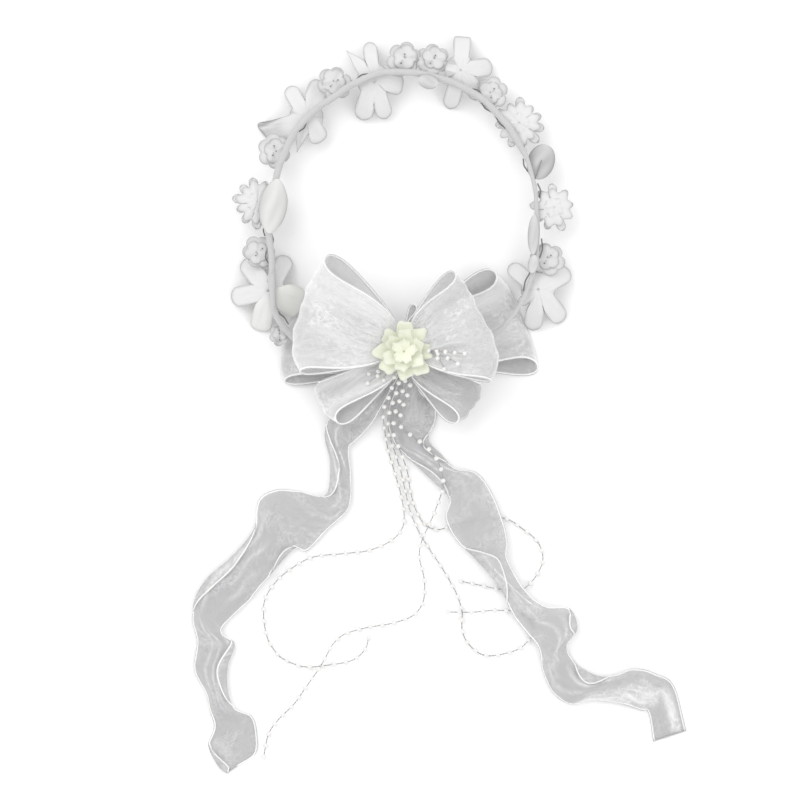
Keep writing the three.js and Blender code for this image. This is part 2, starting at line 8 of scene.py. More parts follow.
import bmesh
import bpy
import numpy as np
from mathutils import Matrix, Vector


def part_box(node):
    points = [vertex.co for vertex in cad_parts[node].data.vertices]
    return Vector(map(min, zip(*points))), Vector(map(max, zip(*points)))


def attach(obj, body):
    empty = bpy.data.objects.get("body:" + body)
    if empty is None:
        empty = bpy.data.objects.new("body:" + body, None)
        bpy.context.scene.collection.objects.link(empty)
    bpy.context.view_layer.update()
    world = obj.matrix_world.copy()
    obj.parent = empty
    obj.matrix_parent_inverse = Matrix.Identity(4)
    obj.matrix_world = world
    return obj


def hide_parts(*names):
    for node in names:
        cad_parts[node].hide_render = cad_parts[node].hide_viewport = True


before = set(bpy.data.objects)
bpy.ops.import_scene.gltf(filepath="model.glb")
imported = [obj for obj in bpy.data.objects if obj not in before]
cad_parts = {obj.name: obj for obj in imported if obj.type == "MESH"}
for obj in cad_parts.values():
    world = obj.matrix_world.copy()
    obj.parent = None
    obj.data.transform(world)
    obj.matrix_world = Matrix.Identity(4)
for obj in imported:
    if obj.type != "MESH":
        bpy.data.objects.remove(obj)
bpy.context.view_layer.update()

bl_info = {
    "name": "Flower hair wreath",
    "version": (1, 0, 0),
    "blender": (4, 5, 0),
    "location": "3D View > Sidebar > Wreath",
    "description": "Builds the wreath's flowers, bow, tails and pearls round its packed frame",
    "category": "Add Mesh",
}

MM = 0.001

# The camera and the stage, in metres: the photograph's width on the wreath's plane and the point in its middle
PHOTO_SPAN = 0.496
PHOTO_MIDDLE = (-0.0244, 0.0031)
CAMERA_HEIGHT = 2.4
SENSOR_WIDTH = 36.0
FLOOR_HALF = 3.0
FLOOR_DROP = 0.0003
LIGHTS = [
    # name, place, size, power
    ("Key light", (-1.1, 1.2, 1.9), 1.8, 17.0),
    ("Fill light", (1.5, -0.6, 1.8), 2.2, 9.0),
]

# Sizes that the solids have, in millimetres
RING_RADIUS = 85
RING_HEIGHT = 18
RING_TUBE = 4.6
FLOWER_RADIUS = 25
DAISY_RADIUS = 17
DAISY_DROOP = 4.2
BLOSSOM_RADIUS = 9
BLOSSOM_RUFFLE = 1.3
CENTRE_FLOWER_RADIUS = 18
CENTRE_FLOWER_RISE = 9
RIBBON_WIDTH = 60
RIBBON_WALL = 1
RIBBON_NECK = 6
LOOP_REACH = 66
LOOP_RISE = 24
LOOP_CORNER = 0.08
KNOT_RADIUS = 7
TAIL_LEFT_DROP = 260
TAIL_RIGHT_DROP = 240
PETAL_SEAT = 1.5
CLEARANCE = 0.3
TIP_GAP = 0.2

# Sizes that only the looks have, in millimetres
TAPE_LUMPS = 0.12
RING_THINNING = 0.75
WIRE_RADIUS = 0.42
STAMEN_RADIUS = 0.16
STEM_RADIUS = 0.45
LINE_STEP = 0.9
HEM_INSET = 0.9
FOLD_BEND = 0.9
CLOTH_LIFT = 0.35
SPRAY_STEP = 5.5
SPRAY_LIFT = 2.6

# Steps that the surfaces are made with
RING_STEPS = 900
RING_SIDES = 24
PETAL_STEPS = 28
PETAL_ROWS = 18
LOOP_STEPS = 121
LOOP_ACROSS = 49
TAIL_STEPS = 9
TAIL_ACROSS = 41
KNOT_STEPS = 25
KNOT_SIDES = 60

# The organza where it is one flat layer, and the painted highlight of its gathers and creases
ORGANZA_GREY = (0.5, 0.495, 0.505, 1)
ORGANZA_HIGHLIGHT = (0.96, 0.96, 0.96, 1)

# The oval of the ring, anticlockwise from +X, with reach as a share of RING_RADIUS
RING_SHAPE = [
    # angle, reach
    (0, 0.963), (20, 0.977), (40, 0.996), (60, 1.026), (80, 1.038), (100, 1.052), (120, 1.007),
    (140, 1.003), (160, 0.97), (180, 0.977), (200, 1.017), (218, 1.17), (234, 1.16), (252, 1.02),
    (270, 0.977), (288, 1.01), (306, 1.07), (322, 1.055), (340, 1.01),
]

# Five-petal flowers: angle on the ring, out from its tube and size as shares of FLOWER_RADIUS, and the petals.
# Each petal has its aim, its reach as a share of the size, half its spread in degrees, its cup in millimetres
# (edges up), how cream it is, and the kind of its tip
FLOWERS = [
    # name, angle, out, size, petals of aim, reach, half, cup, tint, tip
    ("flower_1", 208.6, 0.1, 1.0, [
        (62, 0.98, 16, 0.9, 0.0, "round"), (128, 1.0, 17, 1.2, 0.0, "round"),
        (190, 0.95, 18, 1.0, 0.0, "round"), (256, 1.0, 18, 0.6, 0.3, "broad"),
        (338, 0.88, 30, 1.5, 0.55, "broad"),
    ]),
    ("flower_2", 134.4, 0.03, 1.0, [
        (68, 1.0, 18, 0.9, 0.0, "broad"), (120, 0.9, 15, 1.2, 0.0, "round"),
        (203, 1.0, 21, 1.4, 0.0, "pleated"), (254, 0.88, 13, 0.6, 0.0, "spike"),
        (302, 0.7, 24, 1.0, 0.0, "round"),
    ]),
    ("flower_3", 102.4, -0.12, 1.0, [
        (352, 0.72, 24, 1.2, 0.0, "broad"), (97, 1.0, 12, 1.0, 0.0, "round"),
        (131, 1.05, 12, 0.5, 0.0, "spike"), (251, 0.98, 17, 1.2, 0.0, "round"),
        (288, 0.95, 15, 0.8, 0.0, "round"),
    ]),
    ("flower_4", 68.9, 0.36, 0.92, [
        (9, 0.87, 20, 1.0, 0.0, "round"), (86, 0.95, 17, 1.4, 0.0, "square"),
        (165, 0.42, 18, 0.6, 0.0, "round"), (253, 1.02, 15, 1.2, 0.0, "round"),
        (308, 0.9, 18, 1.0, 0.0, "round"),
    ]),
    ("flower_5", 331.6, 0.25, 1.0, [
        (30, 0.93, 17, 1.2, 0.0, "round"), (139, 0.92, 15, 0.8, 0.0, "round"),
        (218, 0.6, 14, 0.6, 0.0, "round"), (263, 1.0, 16, 1.0, 0.0, "round"),
        (309, 1.0, 16, 1.3, 0.0, "round"),
    ]),
]

# Half of each kind of petal's outline from its foot to its tip: along and across as shares
PETAL_TIPS = {
    "round": [(0.2, 0.9), (0.45, 0.93), (0.65, 1.0), (0.8, 0.98), (0.91, 0.78), (0.975, 0.42), (1.0, 0.0)],
    "square": [(0.2, 0.85), (0.45, 0.85), (0.65, 0.93), (0.82, 1.0), (0.95, 0.95), (0.995, 0.75), (1.0, 0.0)],
    "broad": [(0.2, 0.85), (0.45, 0.9), (0.65, 1.0), (0.82, 1.0), (0.93, 0.84), (0.985, 0.52), (1.0, 0.0)],
    "pleated": [(0.2, 0.7), (0.45, 0.75), (0.7, 0.9), (0.92, 1.1), (1.04, 1.2), (1.11, 0.8), (1.12, 0.0)],
    "spike": [(0.2, 1.1), (0.4, 0.95), (0.6, 0.7), (0.75, 0.42), (0.86, 0.22), (0.95, 0.1), (1.0, 0.0)],
}
# How far in the gaps between petals reach, how full a petal is, and how far a pleated one's end slants
NOTCH = 0.42
PETAL_FULLNESS = 0.86
FAN_SLANT = -0.3
FAN_PLEATS = 12

# Many-petal flowers, with out and size as shares of DAISY_RADIUS
DAISIES = [
    # name, angle, out, size, petals, turn
    ("daisy_1", 174.4, 0.45, 1.0, 11, 4),
    ("daisy_2", 39.2, 0.4, 1.0, 11, 20),
    ("daisy_3", 3.5, 0.6, 0.92, 9, 12),
]
# Where a daisy's narrow petal starts, its width, and the length of its taper, as shares of its reach
FINGER_FOOT = 0.4
FINGER_WIDTH = 0.18
FINGER_TAPER = 0.3
DAISY_DISCS = [
    # share of the radius, lift
    (0.8, 0.3), (0.45, 1.1),
]

# Ruffled blossoms, with out and size as shares of BLOSSOM_RADIUS
BLOSSOMS = [
    # name, angle, out, size, turn
    ("blossom_1", 117.5, 0.75, 1.0, 0), ("blossom_2", 90.2, 0.95, 1.0, 30),
    ("blossom_3", 79.6, 1.15, 0.95, 10), ("blossom_4", 54.5, 0.8, 0.95, 25),
    ("blossom_5", 153, 0.72, 1.0, 40), ("blossom_6", 193.5, 0.75, 0.95, 5),
    ("blossom_7", 343.5, 0.8, 1.0, 15), ("blossom_8", 223.5, 0.75, 0.62, 50),
]
# How much wider a blossom's cloth is than its solid
BLOSSOM_SPREAD = 1.22
BLOSSOM_LAYERS = [
    # share of the radius, lift, lobes
    (1.0, 0.0, 6), (0.74, 0.7, 5),
]

# Leaves and buds: out, long, wide and bow are shares of FLOWER_RADIUS, and over ones lie on top of the tube
LEAVES = [
    # name, angle, out, long, wide, bow, turn, over, tint, shade, point
    ("leaf_1", 175.5, -0.09, 1.36, 0.68, 0.05, 81, True, 0.2, 0.2, 0.75),
    ("leaf_2", 21.9, 0.31, 0.88, 0.66, 0.05, 70, False, 0.0, 0.35, 0.5),
    ("leaf_3", 352, -0.12, 0.98, 0.28, 0.0, 88, True, 0.0, 0.2, 0.6),
    ("leaf_4", 339.8, -0.05, 0.44, 0.26, 0.0, 80, True, 0.0, 0.1, 0.6),
    ("leaf_5", 79.8, -0.16, 0.5, 0.36, 0.0, 165, True, 0.0, 0.2, 0.6),
]

# The bow's loops, with angles in degrees.
# tie, climb: where the neck meets the knot. aim, slope: the loop's way out.
# reach, width, rise: shares of LOOP_REACH, RIBBON_WIDTH and LOOP_RISE.
# lean: how far its end is out of square. curl: how far one side is rolled up, and which side by its sign.
# mouth, lip: how far the two strips' hems part at the curled side and at the other, in millimetres.
# corner: how much of the reach the other side's corner lacks.
# pleats: waves across at the neck. white, dense: how much painted highlight whitens the cloth, and how opaque it is.
LOOP_COLUMNS = (
    "name", "tie", "climb", "aim", "slope", "reach", "width", "rise", "lean", "curl",
    "mouth", "lip", "corner", "pleats", "white", "dense",
)
LOOPS = [
    ("bow_loop_left_front", 157, 45, 158, 16, 1.07, 1.18, 1.0, -0.06, -25, 5.5, 5.0, 0.2, 6, 0.95, 0.3),
    ("bow_loop_left_back", 181, -50, 177, -8.3, 1.18, 0.72, 0.26, 0.14, 10, 6.0, 6.0, 0.08, 4, 0.75, 0.4),
    ("bow_loop_left_low", 240, -5, 209, -0.5, 0.94, 0.46, 0.38, 0.0, 30, 8.0, 1.0, 0.12, 3, 0.8, 0.36),
    ("bow_loop_right_front", 20, 47, 20, 19, 0.84, 1.16, 1.0, -0.12, 20, 3.0, 3.0, 0.3, 6, 0.78, 0.24),
    ("bow_loop_right_back", 8, -50, 17, -8, 1.2, 1.06, 0.26, -0.08, 35, 11.0, 13.0, 0.03, 5, 0.8, 0.4),
    ("bow_loop_right_low", 300, -5, 326, -0.5, 0.84, 0.48, 0.38, 0.0, -30, 6.0, 1.0, 0.12, 3, 0.18, 0.28),
    ("bow_loop_right_inner", 75, -5, 54, 0, 0.44, 0.3, 0.25, 0.0, 0, 5.0, 4.0, 0.08, 3, 0.5, 0.26),
]

# The tails, from the knot to the cut end. x, y: shares of the tail's drop. turn: the way across, in degrees.
# width, lift, crown: shares of RIBBON_WIDTH
TAIL_LEFT = [
    # x, y, width, turn, lift, crown
    (-0.014, -0.036, 0.12, -10, 0.2, 0), (-0.095, -0.143, 0.28, -48, 0.07, 0.04),
    (-0.145, -0.182, 0.37, -48, 0.05, 0.1), (-0.16, -0.216, 0.28, -28, 0.03, 0.12),
    (-0.151, -0.281, 0.26, -34, 0.03, 0.1), (-0.159, -0.356, 0.27, -29, 0.03, 0.12),
    (-0.216, -0.377, 0.5, -53, 0.03, 0.09), (-0.268, -0.401, 0.71, -63, 0.02, 0.05),
    (-0.304, -0.411, 0.62, -54, 0.03, 0.08), (-0.34, -0.479, 0.52, -73, 0.03, 0.1),
    (-0.379, -0.527, 0.44, -53, 0.04, 0.08), (-0.418, -0.565, 0.49, -30, 0.03, 0.12),
    (-0.463, -0.619, 0.41, -42, 0.03, 0.1), (-0.467, -0.659, 0.34, -23, 0.04, 0.06),
    (-0.448, -0.694, 0.39, -3, 0.03, 0.1), (-0.46, -0.753, 0.35, 7, 0.03, 0.08),
    (-0.446, -0.809, 0.23, 3, 0.04, 0.1), (-0.433, -0.851, 0.26, 5, 0.03, 0.06),
    (-0.408, -0.881, 0.41, 16, 0, 0), (-0.408, -0.923, 0.52, 16, 0, 0),
    (-0.398, -0.972, 0.41, 19, 0, 0), (-0.411, -0.995, 0.13, 32, 0, 0),
]
TAIL_RIGHT = [
    # x, y, width, turn, lift, crown
    (0.016, -0.039, 0.12, 0, 0.2, 0), (0.008, -0.105, 0.29, 6, 0.1, 0.04),
    (0.019, -0.146, 0.49, 8, 0.04, 0.08), (0.021, -0.191, 0.49, 10, 0.02, 0.09),
    (0.021, -0.234, 0.34, 12, 0.03, 0.08), (0.054, -0.27, 0.35, 5, 0.03, 0.06),
    (0.097, -0.311, 0.29, 18, 0.04, 0.06), (0.151, -0.344, 0.39, 44, 0.06, 0.05),
    (0.164, -0.391, 0.55, 33, 0.08, 0.06), (0.19, -0.448, 0.54, 31, 0.08, 0.07),
    (0.222, -0.504, 0.4, 28, 0.08, 0.1), (0.24, -0.55, 0.25, 35, 0.09, 0.1),
    (0.279, -0.611, 0.25, -2, 0.09, 0.08), (0.324, -0.669, 0.34, 18, 0.08, 0.08),
    (0.371, -0.693, 0.51, 29, 0.08, 0.06), (0.397, -0.739, 0.45, 27, 0.07, 0.08),
    (0.389, -0.789, 0.36, 45, 0.03, 0.1), (0.413, -0.84, 0.38, 49, 0.03, 0.1),
    (0.463, -0.872, 0.41, 46, 0.02, 0.1), (0.514, -0.867, 0.34, 49, 0.03, 0.1),
    (0.578, -0.863, 0.39, 70, 0.03, 0.08), (0.629, -0.877, 0.41, 68, 0.02, 0.05),
    (0.664, -0.897, 0.39, 47, 0, 0), (0.686, -0.991, 0.36, 18, 0, 0),
]

# Where the tails' edges are folded over them. start, end: shares of the tail. side: 0 is the edge on the left as
# seen from above, 1 the other. depth: a share of the tail's width there
TAIL_FOLDS = {
    # start, end, side, depth
    "tail_left": [
        (0.1, 0.27, 0, 0.5), (0.38, 0.64, 0, 0.25), (0.36, 0.44, 1, 0.12),
        (0.62, 0.84, 1, 0.34), (0.88, 1.1, 0, 0.3),
    ],
    "tail_right": [
        (0.14, 0.26, 1, 0.3), (0.2, 0.32, 0, 0.3), (0.4, 0.56, 0, 0.7),
        (0.6, 0.68, 1, 0.2), (0.72, 0.83, 1, 0.3),
    ],
}

# The tails' creases of painted highlight. start, end: shares of the tail. from, to: where the crease lies across
# the tail at its start and its end. half: half its width as a share of the tail's. white: how strong its painted
# highlight is
TAIL_CREASES = {
    # start, end, from, to, half, white
    "tail_left": [
        (0.02, 0.13, 0.6, 0.35, 0.12, 0.4), (0.05, 0.2, 0.25, 0.75, 0.05, 0.5),
        (0.14, 0.27, 0.2, 0.55, 0.07, 0.4), (0.24, 0.3, 0.9, 0.6, 0.05, 0.5),
        (0.36, 0.6, 0.16, 0.2, 0.06, 0.4), (0.4, 0.52, 0.5, 0.36, 0.05, 0.35),
        (0.44, 0.55, 0.75, 0.6, 0.06, 0.3), (0.58, 0.8, 0.3, 0.4, 0.05, 0.4),
        (0.6, 0.84, 0.5, 0.6, 0.04, 0.4), (0.62, 0.82, 0.78, 0.7, 0.05, 0.4),
        (0.88, 1.0, 0.2, 0.3, 0.14, 0.35),
    ],
    "tail_right": [
        (0.0, 0.14, 0.6, 0.4, 0.5, 0.3), (0.13, 0.27, 0.1, 0.45, 0.06, 0.5),
        (0.18, 0.32, 0.5, 0.9, 0.05, 0.5), (0.42, 0.58, 0.15, 0.8, 0.04, 0.6),
        (0.46, 0.6, 0.1, 0.45, 0.14, 0.3), (0.5, 0.62, 0.6, 0.3, 0.05, 0.4),
        (0.58, 0.72, 0.3, 0.7, 0.05, 0.45), (0.6, 0.74, 0.8, 0.35, 0.05, 0.45),
        (0.68, 0.8, 0.15, 0.4, 0.08, 0.35), (0.72, 0.84, 0.7, 0.75, 0.06, 0.5),
        (0.78, 0.97, 0.15, 0.35, 0.3, 0.95), (0.9, 1.04, 0.25, 1.05, 0.16, 0.9),
    ],
}

# The pearl strands' routes in millimetres from the knot's middle in x and y, z from the surface below
STRAND_ROUTES = {
    "pearl_strand_1": [
        (4.8, -6.5, 22), (4.6, -16, 22), (2, -27, 16), (-1.5, -36, 10.5), (-2, -46, 9.7), (5, -52, 9.5),
        (13, -58, 9.5), (20, -66, 10.5), (23.5, -75, 11.4), (24, -84, 8.6), (20.5, -95, 4.5),
        (16, -106, 5.4), (11, -117, 5.4), (9.5, -127, 3.5), (12.5, -141, 1.85), (12, -154, 1.85),
        (6, -163, 1.85), (-7, -168, 1.85), (-24, -171, 1.85), (-37, -175, 1.85), (-44, -181, 2.5),
        (-49, -190, 5), (-54, -198, 5), (-61, -208, 2), (-68, -218, 1.85), (-78, -228, 1.85),
        (-84, -237, 1.85), (-87, -251, 1.85),
    ],
    "pearl_strand_2": [
        (-5.4, -6.5, 22.2), (-6, -16, 22.4), (-9, -27, 16.5), (-12.8, -36, 10), (-12, -48, 3.6),
        (-10, -60, 1.9), (-6, -74, 1.85), (-2, -88, 1.85), (0, -100, 1.85), (-1, -109, 1.85),
        (-8, -117, 1.85), (-22, -123, 1.85), (-38, -125, 1.85), (-56, -127, 1.85), (-68, -133, 1.85),
        (-79, -142, 1.85), (-86, -153, 1.85), (-87, -164, 1.85), (-85, -176, 1.85), (-81, -184, 1.85),
        (-75, -190, 1.85), (-62, -195, 1.85), (-47, -194, 1.85), (-32, -191, 1.85), (-24, -184, 1.85),
        (-22, -177, 1.85),
    ],
    "pearl_strand_3": [
        (1.4, -7, 22), (1, -16, 22), (-1.6, -27, 16), (-5.2, -37, 10.5), (-6.5, -50, 9), (-2, -62, 6),
        (2, -74, 1.85), (4, -86, 1.85), (7, -97, 1.85), (13, -107, 1.85), (21, -110, 1.85),
        (29, -108, 1.85), (45, -104, 1.85), (62, -103, 1.85), (74, -110, 1.85), (83, -118, 1.85),
        (86, -129, 1.85), (81, -140, 1.85), (73, -147, 1.85), (60, -147, 1.85), (47, -144.5, 1.85),
        (35, -142, 1.85),
    ],
    "pearl_strand_4": [
        (-2, -7, 22), (-2.6, -16, 22), (-5.3, -27, 16), (-9, -37, 10), (-9.5, -49, 5.5), (-6, -61, 2.2),
        (-2, -74, 1.85), (1, -87, 1.85), (4, -99, 1.85), (9, -111, 1.85), (15, -121, 1.85),
        (23, -133, 1.85), (29, -143, 1.85), (33, -151, 1.85), (36, -161, 1.85), (36, -172, 1.85),
        (40, -181, 1.85), (50, -188, 1.85), (64, -186.5, 1.85), (74, -182, 1.85), (80, -172, 1.85),
        (73, -162, 1.85), (58, -160, 3), (43, -161, 5), (27, -161, 4),
    ],
}

# The cream flower's layers
CENTRE_LAYERS = [
    # name, petals, size, rise, turn, level
    ("centre_flower_outer", 8, 1.0, 1.1, 0, 0),
    ("centre_flower_middle", 6, 0.72, 1.25, 24, 1),
    ("centre_flower_inner", 5, 0.42, 1.1, 8, 2),
]

# Dark wires laid in the gaps beside the tube as painted shadow: start and end angle, and the side (1 is outside)
SIDE_SHADOW_WIRES = [
    # start, end, side
    (50, 56, -1), (41, 48, -1), (57, 62, 1), (183, 188, 1), (187, 193, -1), (194, 199, 1), (217, 223, -1),
    (343, 351, 1), (368, 374, 1), (380, 386, -1), (328, 336, -1), (104, 109, 1), (136, 141, -1),
]

# The sprays of pearls that lie on the bow's loops, with their wires' ends as places along and across the loop
SPRAYS = [
    # name, loop, start, ends
    ("pearl_spray_right", "bow_loop_right_front", (0.14, 0.36), [(0.25, 0.12), (0.28, 0.24), (0.2, 0.04)]),
    ("pearl_spray_left", "bow_loop_left_low", (0.12, 0.5), [(0.2, 0.35), (0.22, 0.6), (0.16, 0.8)]),
]

UP = np.array((0.0, 0.0, 1.0))
LOOP_ROWS = {values[0]: dict(zip(LOOP_COLUMNS, values)) for values in LOOPS}
TUBE_TOP = RING_HEIGHT + RING_TUBE / 2
TUBE_FOOT = RING_HEIGHT - RING_TUBE / 2


# Reckoning

def lerp(start, end, share):
    return start + (end - start) * share


def smoothstep(x):
    x = np.clip(x, 0, 1)
    return x * x * (3 - 2 * x)


def polar(angle, reach=1.0, z=0.0):
    turn = np.radians(angle)
    return np.stack(np.broadcast_arrays(np.cos(turn) * reach, np.sin(turn) * reach, z), axis=-1)


def smooth_path(points, count, closed=False):
    """A smooth line through the points, at count even steps of its own measure."""
    points = np.asarray(points, float)
    if closed:
        held = np.vstack([points[-1:], points, points[:2]])
        spans = len(points)
    else:
        held = np.vstack([2 * points[0] - points[1], points, 2 * points[-1] - points[-2]])
        spans = len(points) - 1
    where = np.linspace(0, spans, count, endpoint=not closed)
    cell = np.minimum(where.astype(int), spans - 1)
    t = (where - cell)[:, None]
    before, start, end, after = (held[cell + k] for k in range(4))
    return 0.5 * (
        2 * start
        + (end - before) * t
        + (2 * before - 5 * start + 4 * end - after) * t**2
        + (3 * start - before - 3 * end + after) * t**3
    )


def length_along(path):
    steps = np.linalg.norm(np.diff(path, axis=0), axis=1)
    return np.concatenate([[0], np.cumsum(steps)])


def even_path(path, step):
    """The same line with its points step millimetres apart."""
    along = length_along(path)
    count = max(2, round(along[-1] / step) + 1)
    where = np.linspace(0, along[-1], count)
    return np.stack([np.interp(where, along, path[:, axis]) for axis in range(3)], axis=1)


def ripple(rng, u, v, across, along, terms=5):
    """Uneven waves from -1 to 1: across and along are the most waves each way."""
    total = 0
    for _ in range(terms):
        waves_v = rng.uniform(0.3, 1.0) * across
        waves_u = rng.uniform(-1.0, 1.0) * along
        total = total + np.sin(2 * np.pi * (waves_v * v + waves_u * u) + rng.uniform(0, 2 * np.pi))
    return total / terms


RING_ROWS = np.array(RING_SHAPE + [(360, RING_SHAPE[0][1])], float)


def ring_reach(angle):
    return np.interp(angle, RING_ROWS[:, 0], RING_ROWS[:, 1]) * RING_RADIUS


KNOT = polar(270, ring_reach(270), RING_HEIGHT)
knot_low, knot_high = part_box("bow_knot")
KNOT_PLACE = np.array((knot_low + knot_high) / 2) / MM
WREATH_SHIFT = np.array((KNOT_PLACE[0] - KNOT[0], KNOT_PLACE[1] - KNOT[1], 0.0))


def in_row(points):
    """Millimetres about the wreath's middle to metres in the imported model's frame."""
    return (np.asarray(points, float) + WREATH_SHIFT) * MM


# Meshes

def grid_faces(columns, rows, wrap_u=False, wrap_v=False):
    i, j = np.meshgrid(
        np.arange(columns if wrap_u else columns - 1), np.arange(rows if wrap_v else rows - 1), indexing="ij"
    )
    i2, j2 = (i + 1) % columns, (j + 1) % rows
    quads = np.stack([i * rows + j, i2 * rows + j, i2 * rows + j2, i * rows + j2], axis=-1)
    return quads.reshape(-1, 4).tolist()


def surface_normals(grid, wrap_u=False):
    held = np.concatenate([grid[-1:], grid, grid[:1]]) if wrap_u else grid
    along = np.gradient(held, axis=0)
    across = np.gradient(held, axis=1)
    normals = np.cross(along, across)
    normals = normals[1:-1] if wrap_u else normals
    size = np.linalg.norm(normals, axis=-1, keepdims=True)
    return normals / np.maximum(size, 1e-9)


class Shape:
    """Points, faces, UVs and vertex values that together make one mesh."""

    def __init__(self):
        self.points, self.faces, self.uv, self.slots = [], [], [], []
        self.values = {}
        self.count = 0

    def add(self, points, faces, uv=None, slot=0, **values):
        points = np.asarray(points, float).reshape(-1, 3)
        self.points.append(points)
        self.faces += [tuple(corner + self.count for corner in face) for face in faces]
        self.slots += [slot] * len(faces)
        self.uv.append(np.zeros((len(points), 2)) if uv is None else np.asarray(uv, float).reshape(-1, 2))
        for name in set(self.values) | set(values):
            held = self.values.setdefault(name, [np.zeros(self.count)] if self.count else [])
            value = values.get(name, 0.0)
            held.append(np.broadcast_to(value, len(points)) if np.ndim(value) == 0 else np.ravel(value))
        self.count += len(points)

    def shell(self, grid, wall, uv, wrap_u=False, **values):
        """A closed sheet with a wall, half of it on each side of the grid of points."""
        columns, rows = grid.shape[:2]
        normals = surface_normals(grid, wrap_u)
        points = np.concatenate([
            (grid + normals * wall / 2).reshape(-1, 3), (grid - normals * wall / 2).reshape(-1, 3),
        ])
        back = columns * rows
        front = grid_faces(columns, rows, wrap_u)
        faces = front + [tuple(back + corner for corner in reversed(face)) for face in front]
        at = np.arange(columns * rows).reshape(columns, rows)
        rims = [(at[:, 0], wrap_u, False), (at[:, -1], wrap_u, True)]
        if not wrap_u:
            rims += [(at[0, :], False, True), (at[-1, :], False, False)]
        for rim, closed, turned in rims:
            ends = list(zip(rim, np.roll(rim, -1)))
            for start, end in ends if closed else ends[:-1]:
                face = (start, back + start, back + end, end)
                faces.append(tuple(reversed(face)) if turned else face)
        doubled = {
            name: np.tile(np.broadcast_to(value, (columns, rows)).ravel(), 2)
            for name, value in values.items()
        }
        self.add(points, faces, np.tile(np.asarray(uv).reshape(-1, 2), (2, 1)), **doubled)

    def tube(self, path, radius, sides=8, closed=False, slot=0, **values):
        """A round tube along a line, with its ends closed.

        radius is one number, one for each point, or one for each point and side."""
        path = np.asarray(path, float)
        if closed:
            way = np.roll(path, -1, axis=0) - np.roll(path, 1, axis=0)
        else:
            way = np.gradient(path, axis=0)
        way /= np.maximum(np.linalg.norm(way, axis=1, keepdims=True), 1e-9)
        side = np.cross(way[0], UP if abs(way[0][2]) < 0.9 else np.array((1.0, 0.0, 0.0)))
        sides_at = []
        for tangent in way:
            side = side - tangent * side.dot(tangent)
            side /= np.linalg.norm(side)
            sides_at.append(side)
        side = np.array(sides_at)
        up = np.cross(side, way)
        turn = np.arange(sides) * 2 * np.pi / sides
        reach = np.asarray(radius, float)
        if reach.ndim < 2:
            reach = reach.reshape(-1, 1)
        reach = np.broadcast_to(reach, (len(path), sides))
        grid = (
            path[:, None]
            + side[:, None] * (np.cos(turn) * reach)[..., None]
            + up[:, None] * (np.sin(turn) * reach)[..., None]
        )
        faces = grid_faces(len(path), sides, closed, True)
        if not closed:
            faces.append(tuple(range(sides)))
            faces.append(tuple(reversed(range((len(path) - 1) * sides, len(path) * sides))))
        along = np.linalg.norm(np.diff(path, axis=0, prepend=path[:1]), axis=1).cumsum() / 10
        uv = np.stack(np.broadcast_arrays(along[:, None], turn / (2 * np.pi)), axis=-1)
        self.add(grid, faces, uv, slot, **values)

    def mesh(self, name, materials, in_place=True):
        points = np.concatenate(self.points)
        mesh = bpy.data.meshes.new(name)
        mesh.from_pydata((in_row(points) if in_place else points * MM).tolist(), [], self.faces)
        for material in materials:
            mesh.materials.append(material)
        mesh.polygons.foreach_set("material_index", self.slots)
        corners = np.zeros(len(mesh.loops), int)
        mesh.loops.foreach_get("vertex_index", corners)
        layer = mesh.uv_layers.new(name="UVMap")
        layer.data.foreach_set("uv", np.concatenate(self.uv)[corners].ravel())
        for value_name, values in self.values.items():
            attribute = mesh.attributes.new(value_name, "FLOAT", "POINT")
            attribute.data.foreach_set("value", np.concatenate(values).astype(np.float32))
        face_outwards(mesh)
        mesh.shade_smooth()
        return mesh

    def piece(self, name, materials):
        return place(name, self.mesh(name, materials))


def face_outwards(mesh):
    shape = bmesh.new()
    shape.from_mesh(mesh)
    bmesh.ops.recalc_face_normals(shape, faces=shape.faces)
    shape.to_mesh(mesh)
    shape.free()


def place(name, mesh):
    piece = bpy.data.objects.new(name, mesh)
    bpy.context.scene.collection.objects.link(piece)
    return piece


def dress(piece, slot, *nodes):
    """The piece rides on the wreath's one body and stands for its solids."""
    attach(piece, "root")
    if nodes:
        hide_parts(*nodes)
    return piece


# Materials

def new_material(name):
    material = bpy.data.materials.new(name)
    material.use_nodes = True
    nodes = material.node_tree.nodes
    nodes.clear()
    shader = nodes.new("ShaderNodeBsdfPrincipled")
    output = nodes.new("ShaderNodeOutputMaterial")
    material.node_tree.links.new(shader.outputs["BSDF"], output.inputs["Surface"])
    return material, material.node_tree, shader


def node(tree, kind, **settings):
    """A node of that kind. A setting that names an input fills or links it, and the others are options."""
    made = tree.nodes.new(kind)
    for name, value in settings.items():
        if not name[0].isupper():
            setattr(made, name, value)
    for name, value in settings.items():
        if name[0].isupper():
            fill(tree, made.inputs[name.replace("_", " ")], value)
    return made


def fill(tree, socket, value):
    if isinstance(value, bpy.types.NodeSocket):
        tree.links.new(value, socket)
    else:
        socket.default_value = value


def mix_colours(tree, share, first, second):
    mixed = node(tree, "ShaderNodeMix", data_type="RGBA")
    fill(tree, mixed.inputs[0], share)
    fill(tree, mixed.inputs[6], first)
    fill(tree, mixed.inputs[7], second)
    return mixed.outputs[2]


def reckon(tree, operation, first, second=0.0, third=0.0, clamp=False):
    made = node(tree, "ShaderNodeMath", operation=operation, use_clamp=clamp)
    for socket, value in zip(made.inputs, (first, second, third)):
        fill(tree, socket, value)
    return made.outputs[0]


def scaled(tree, vector, scale):
    return node(tree, "ShaderNodeMapping", Vector=vector, Scale=scale).outputs[0]


def noise(tree, vector, scale, detail=2.0, roughness=0.5):
    made = node(tree, "ShaderNodeTexNoise", Vector=vector, Scale=scale, Detail=detail, Roughness=roughness)
    return made.outputs["Fac"]


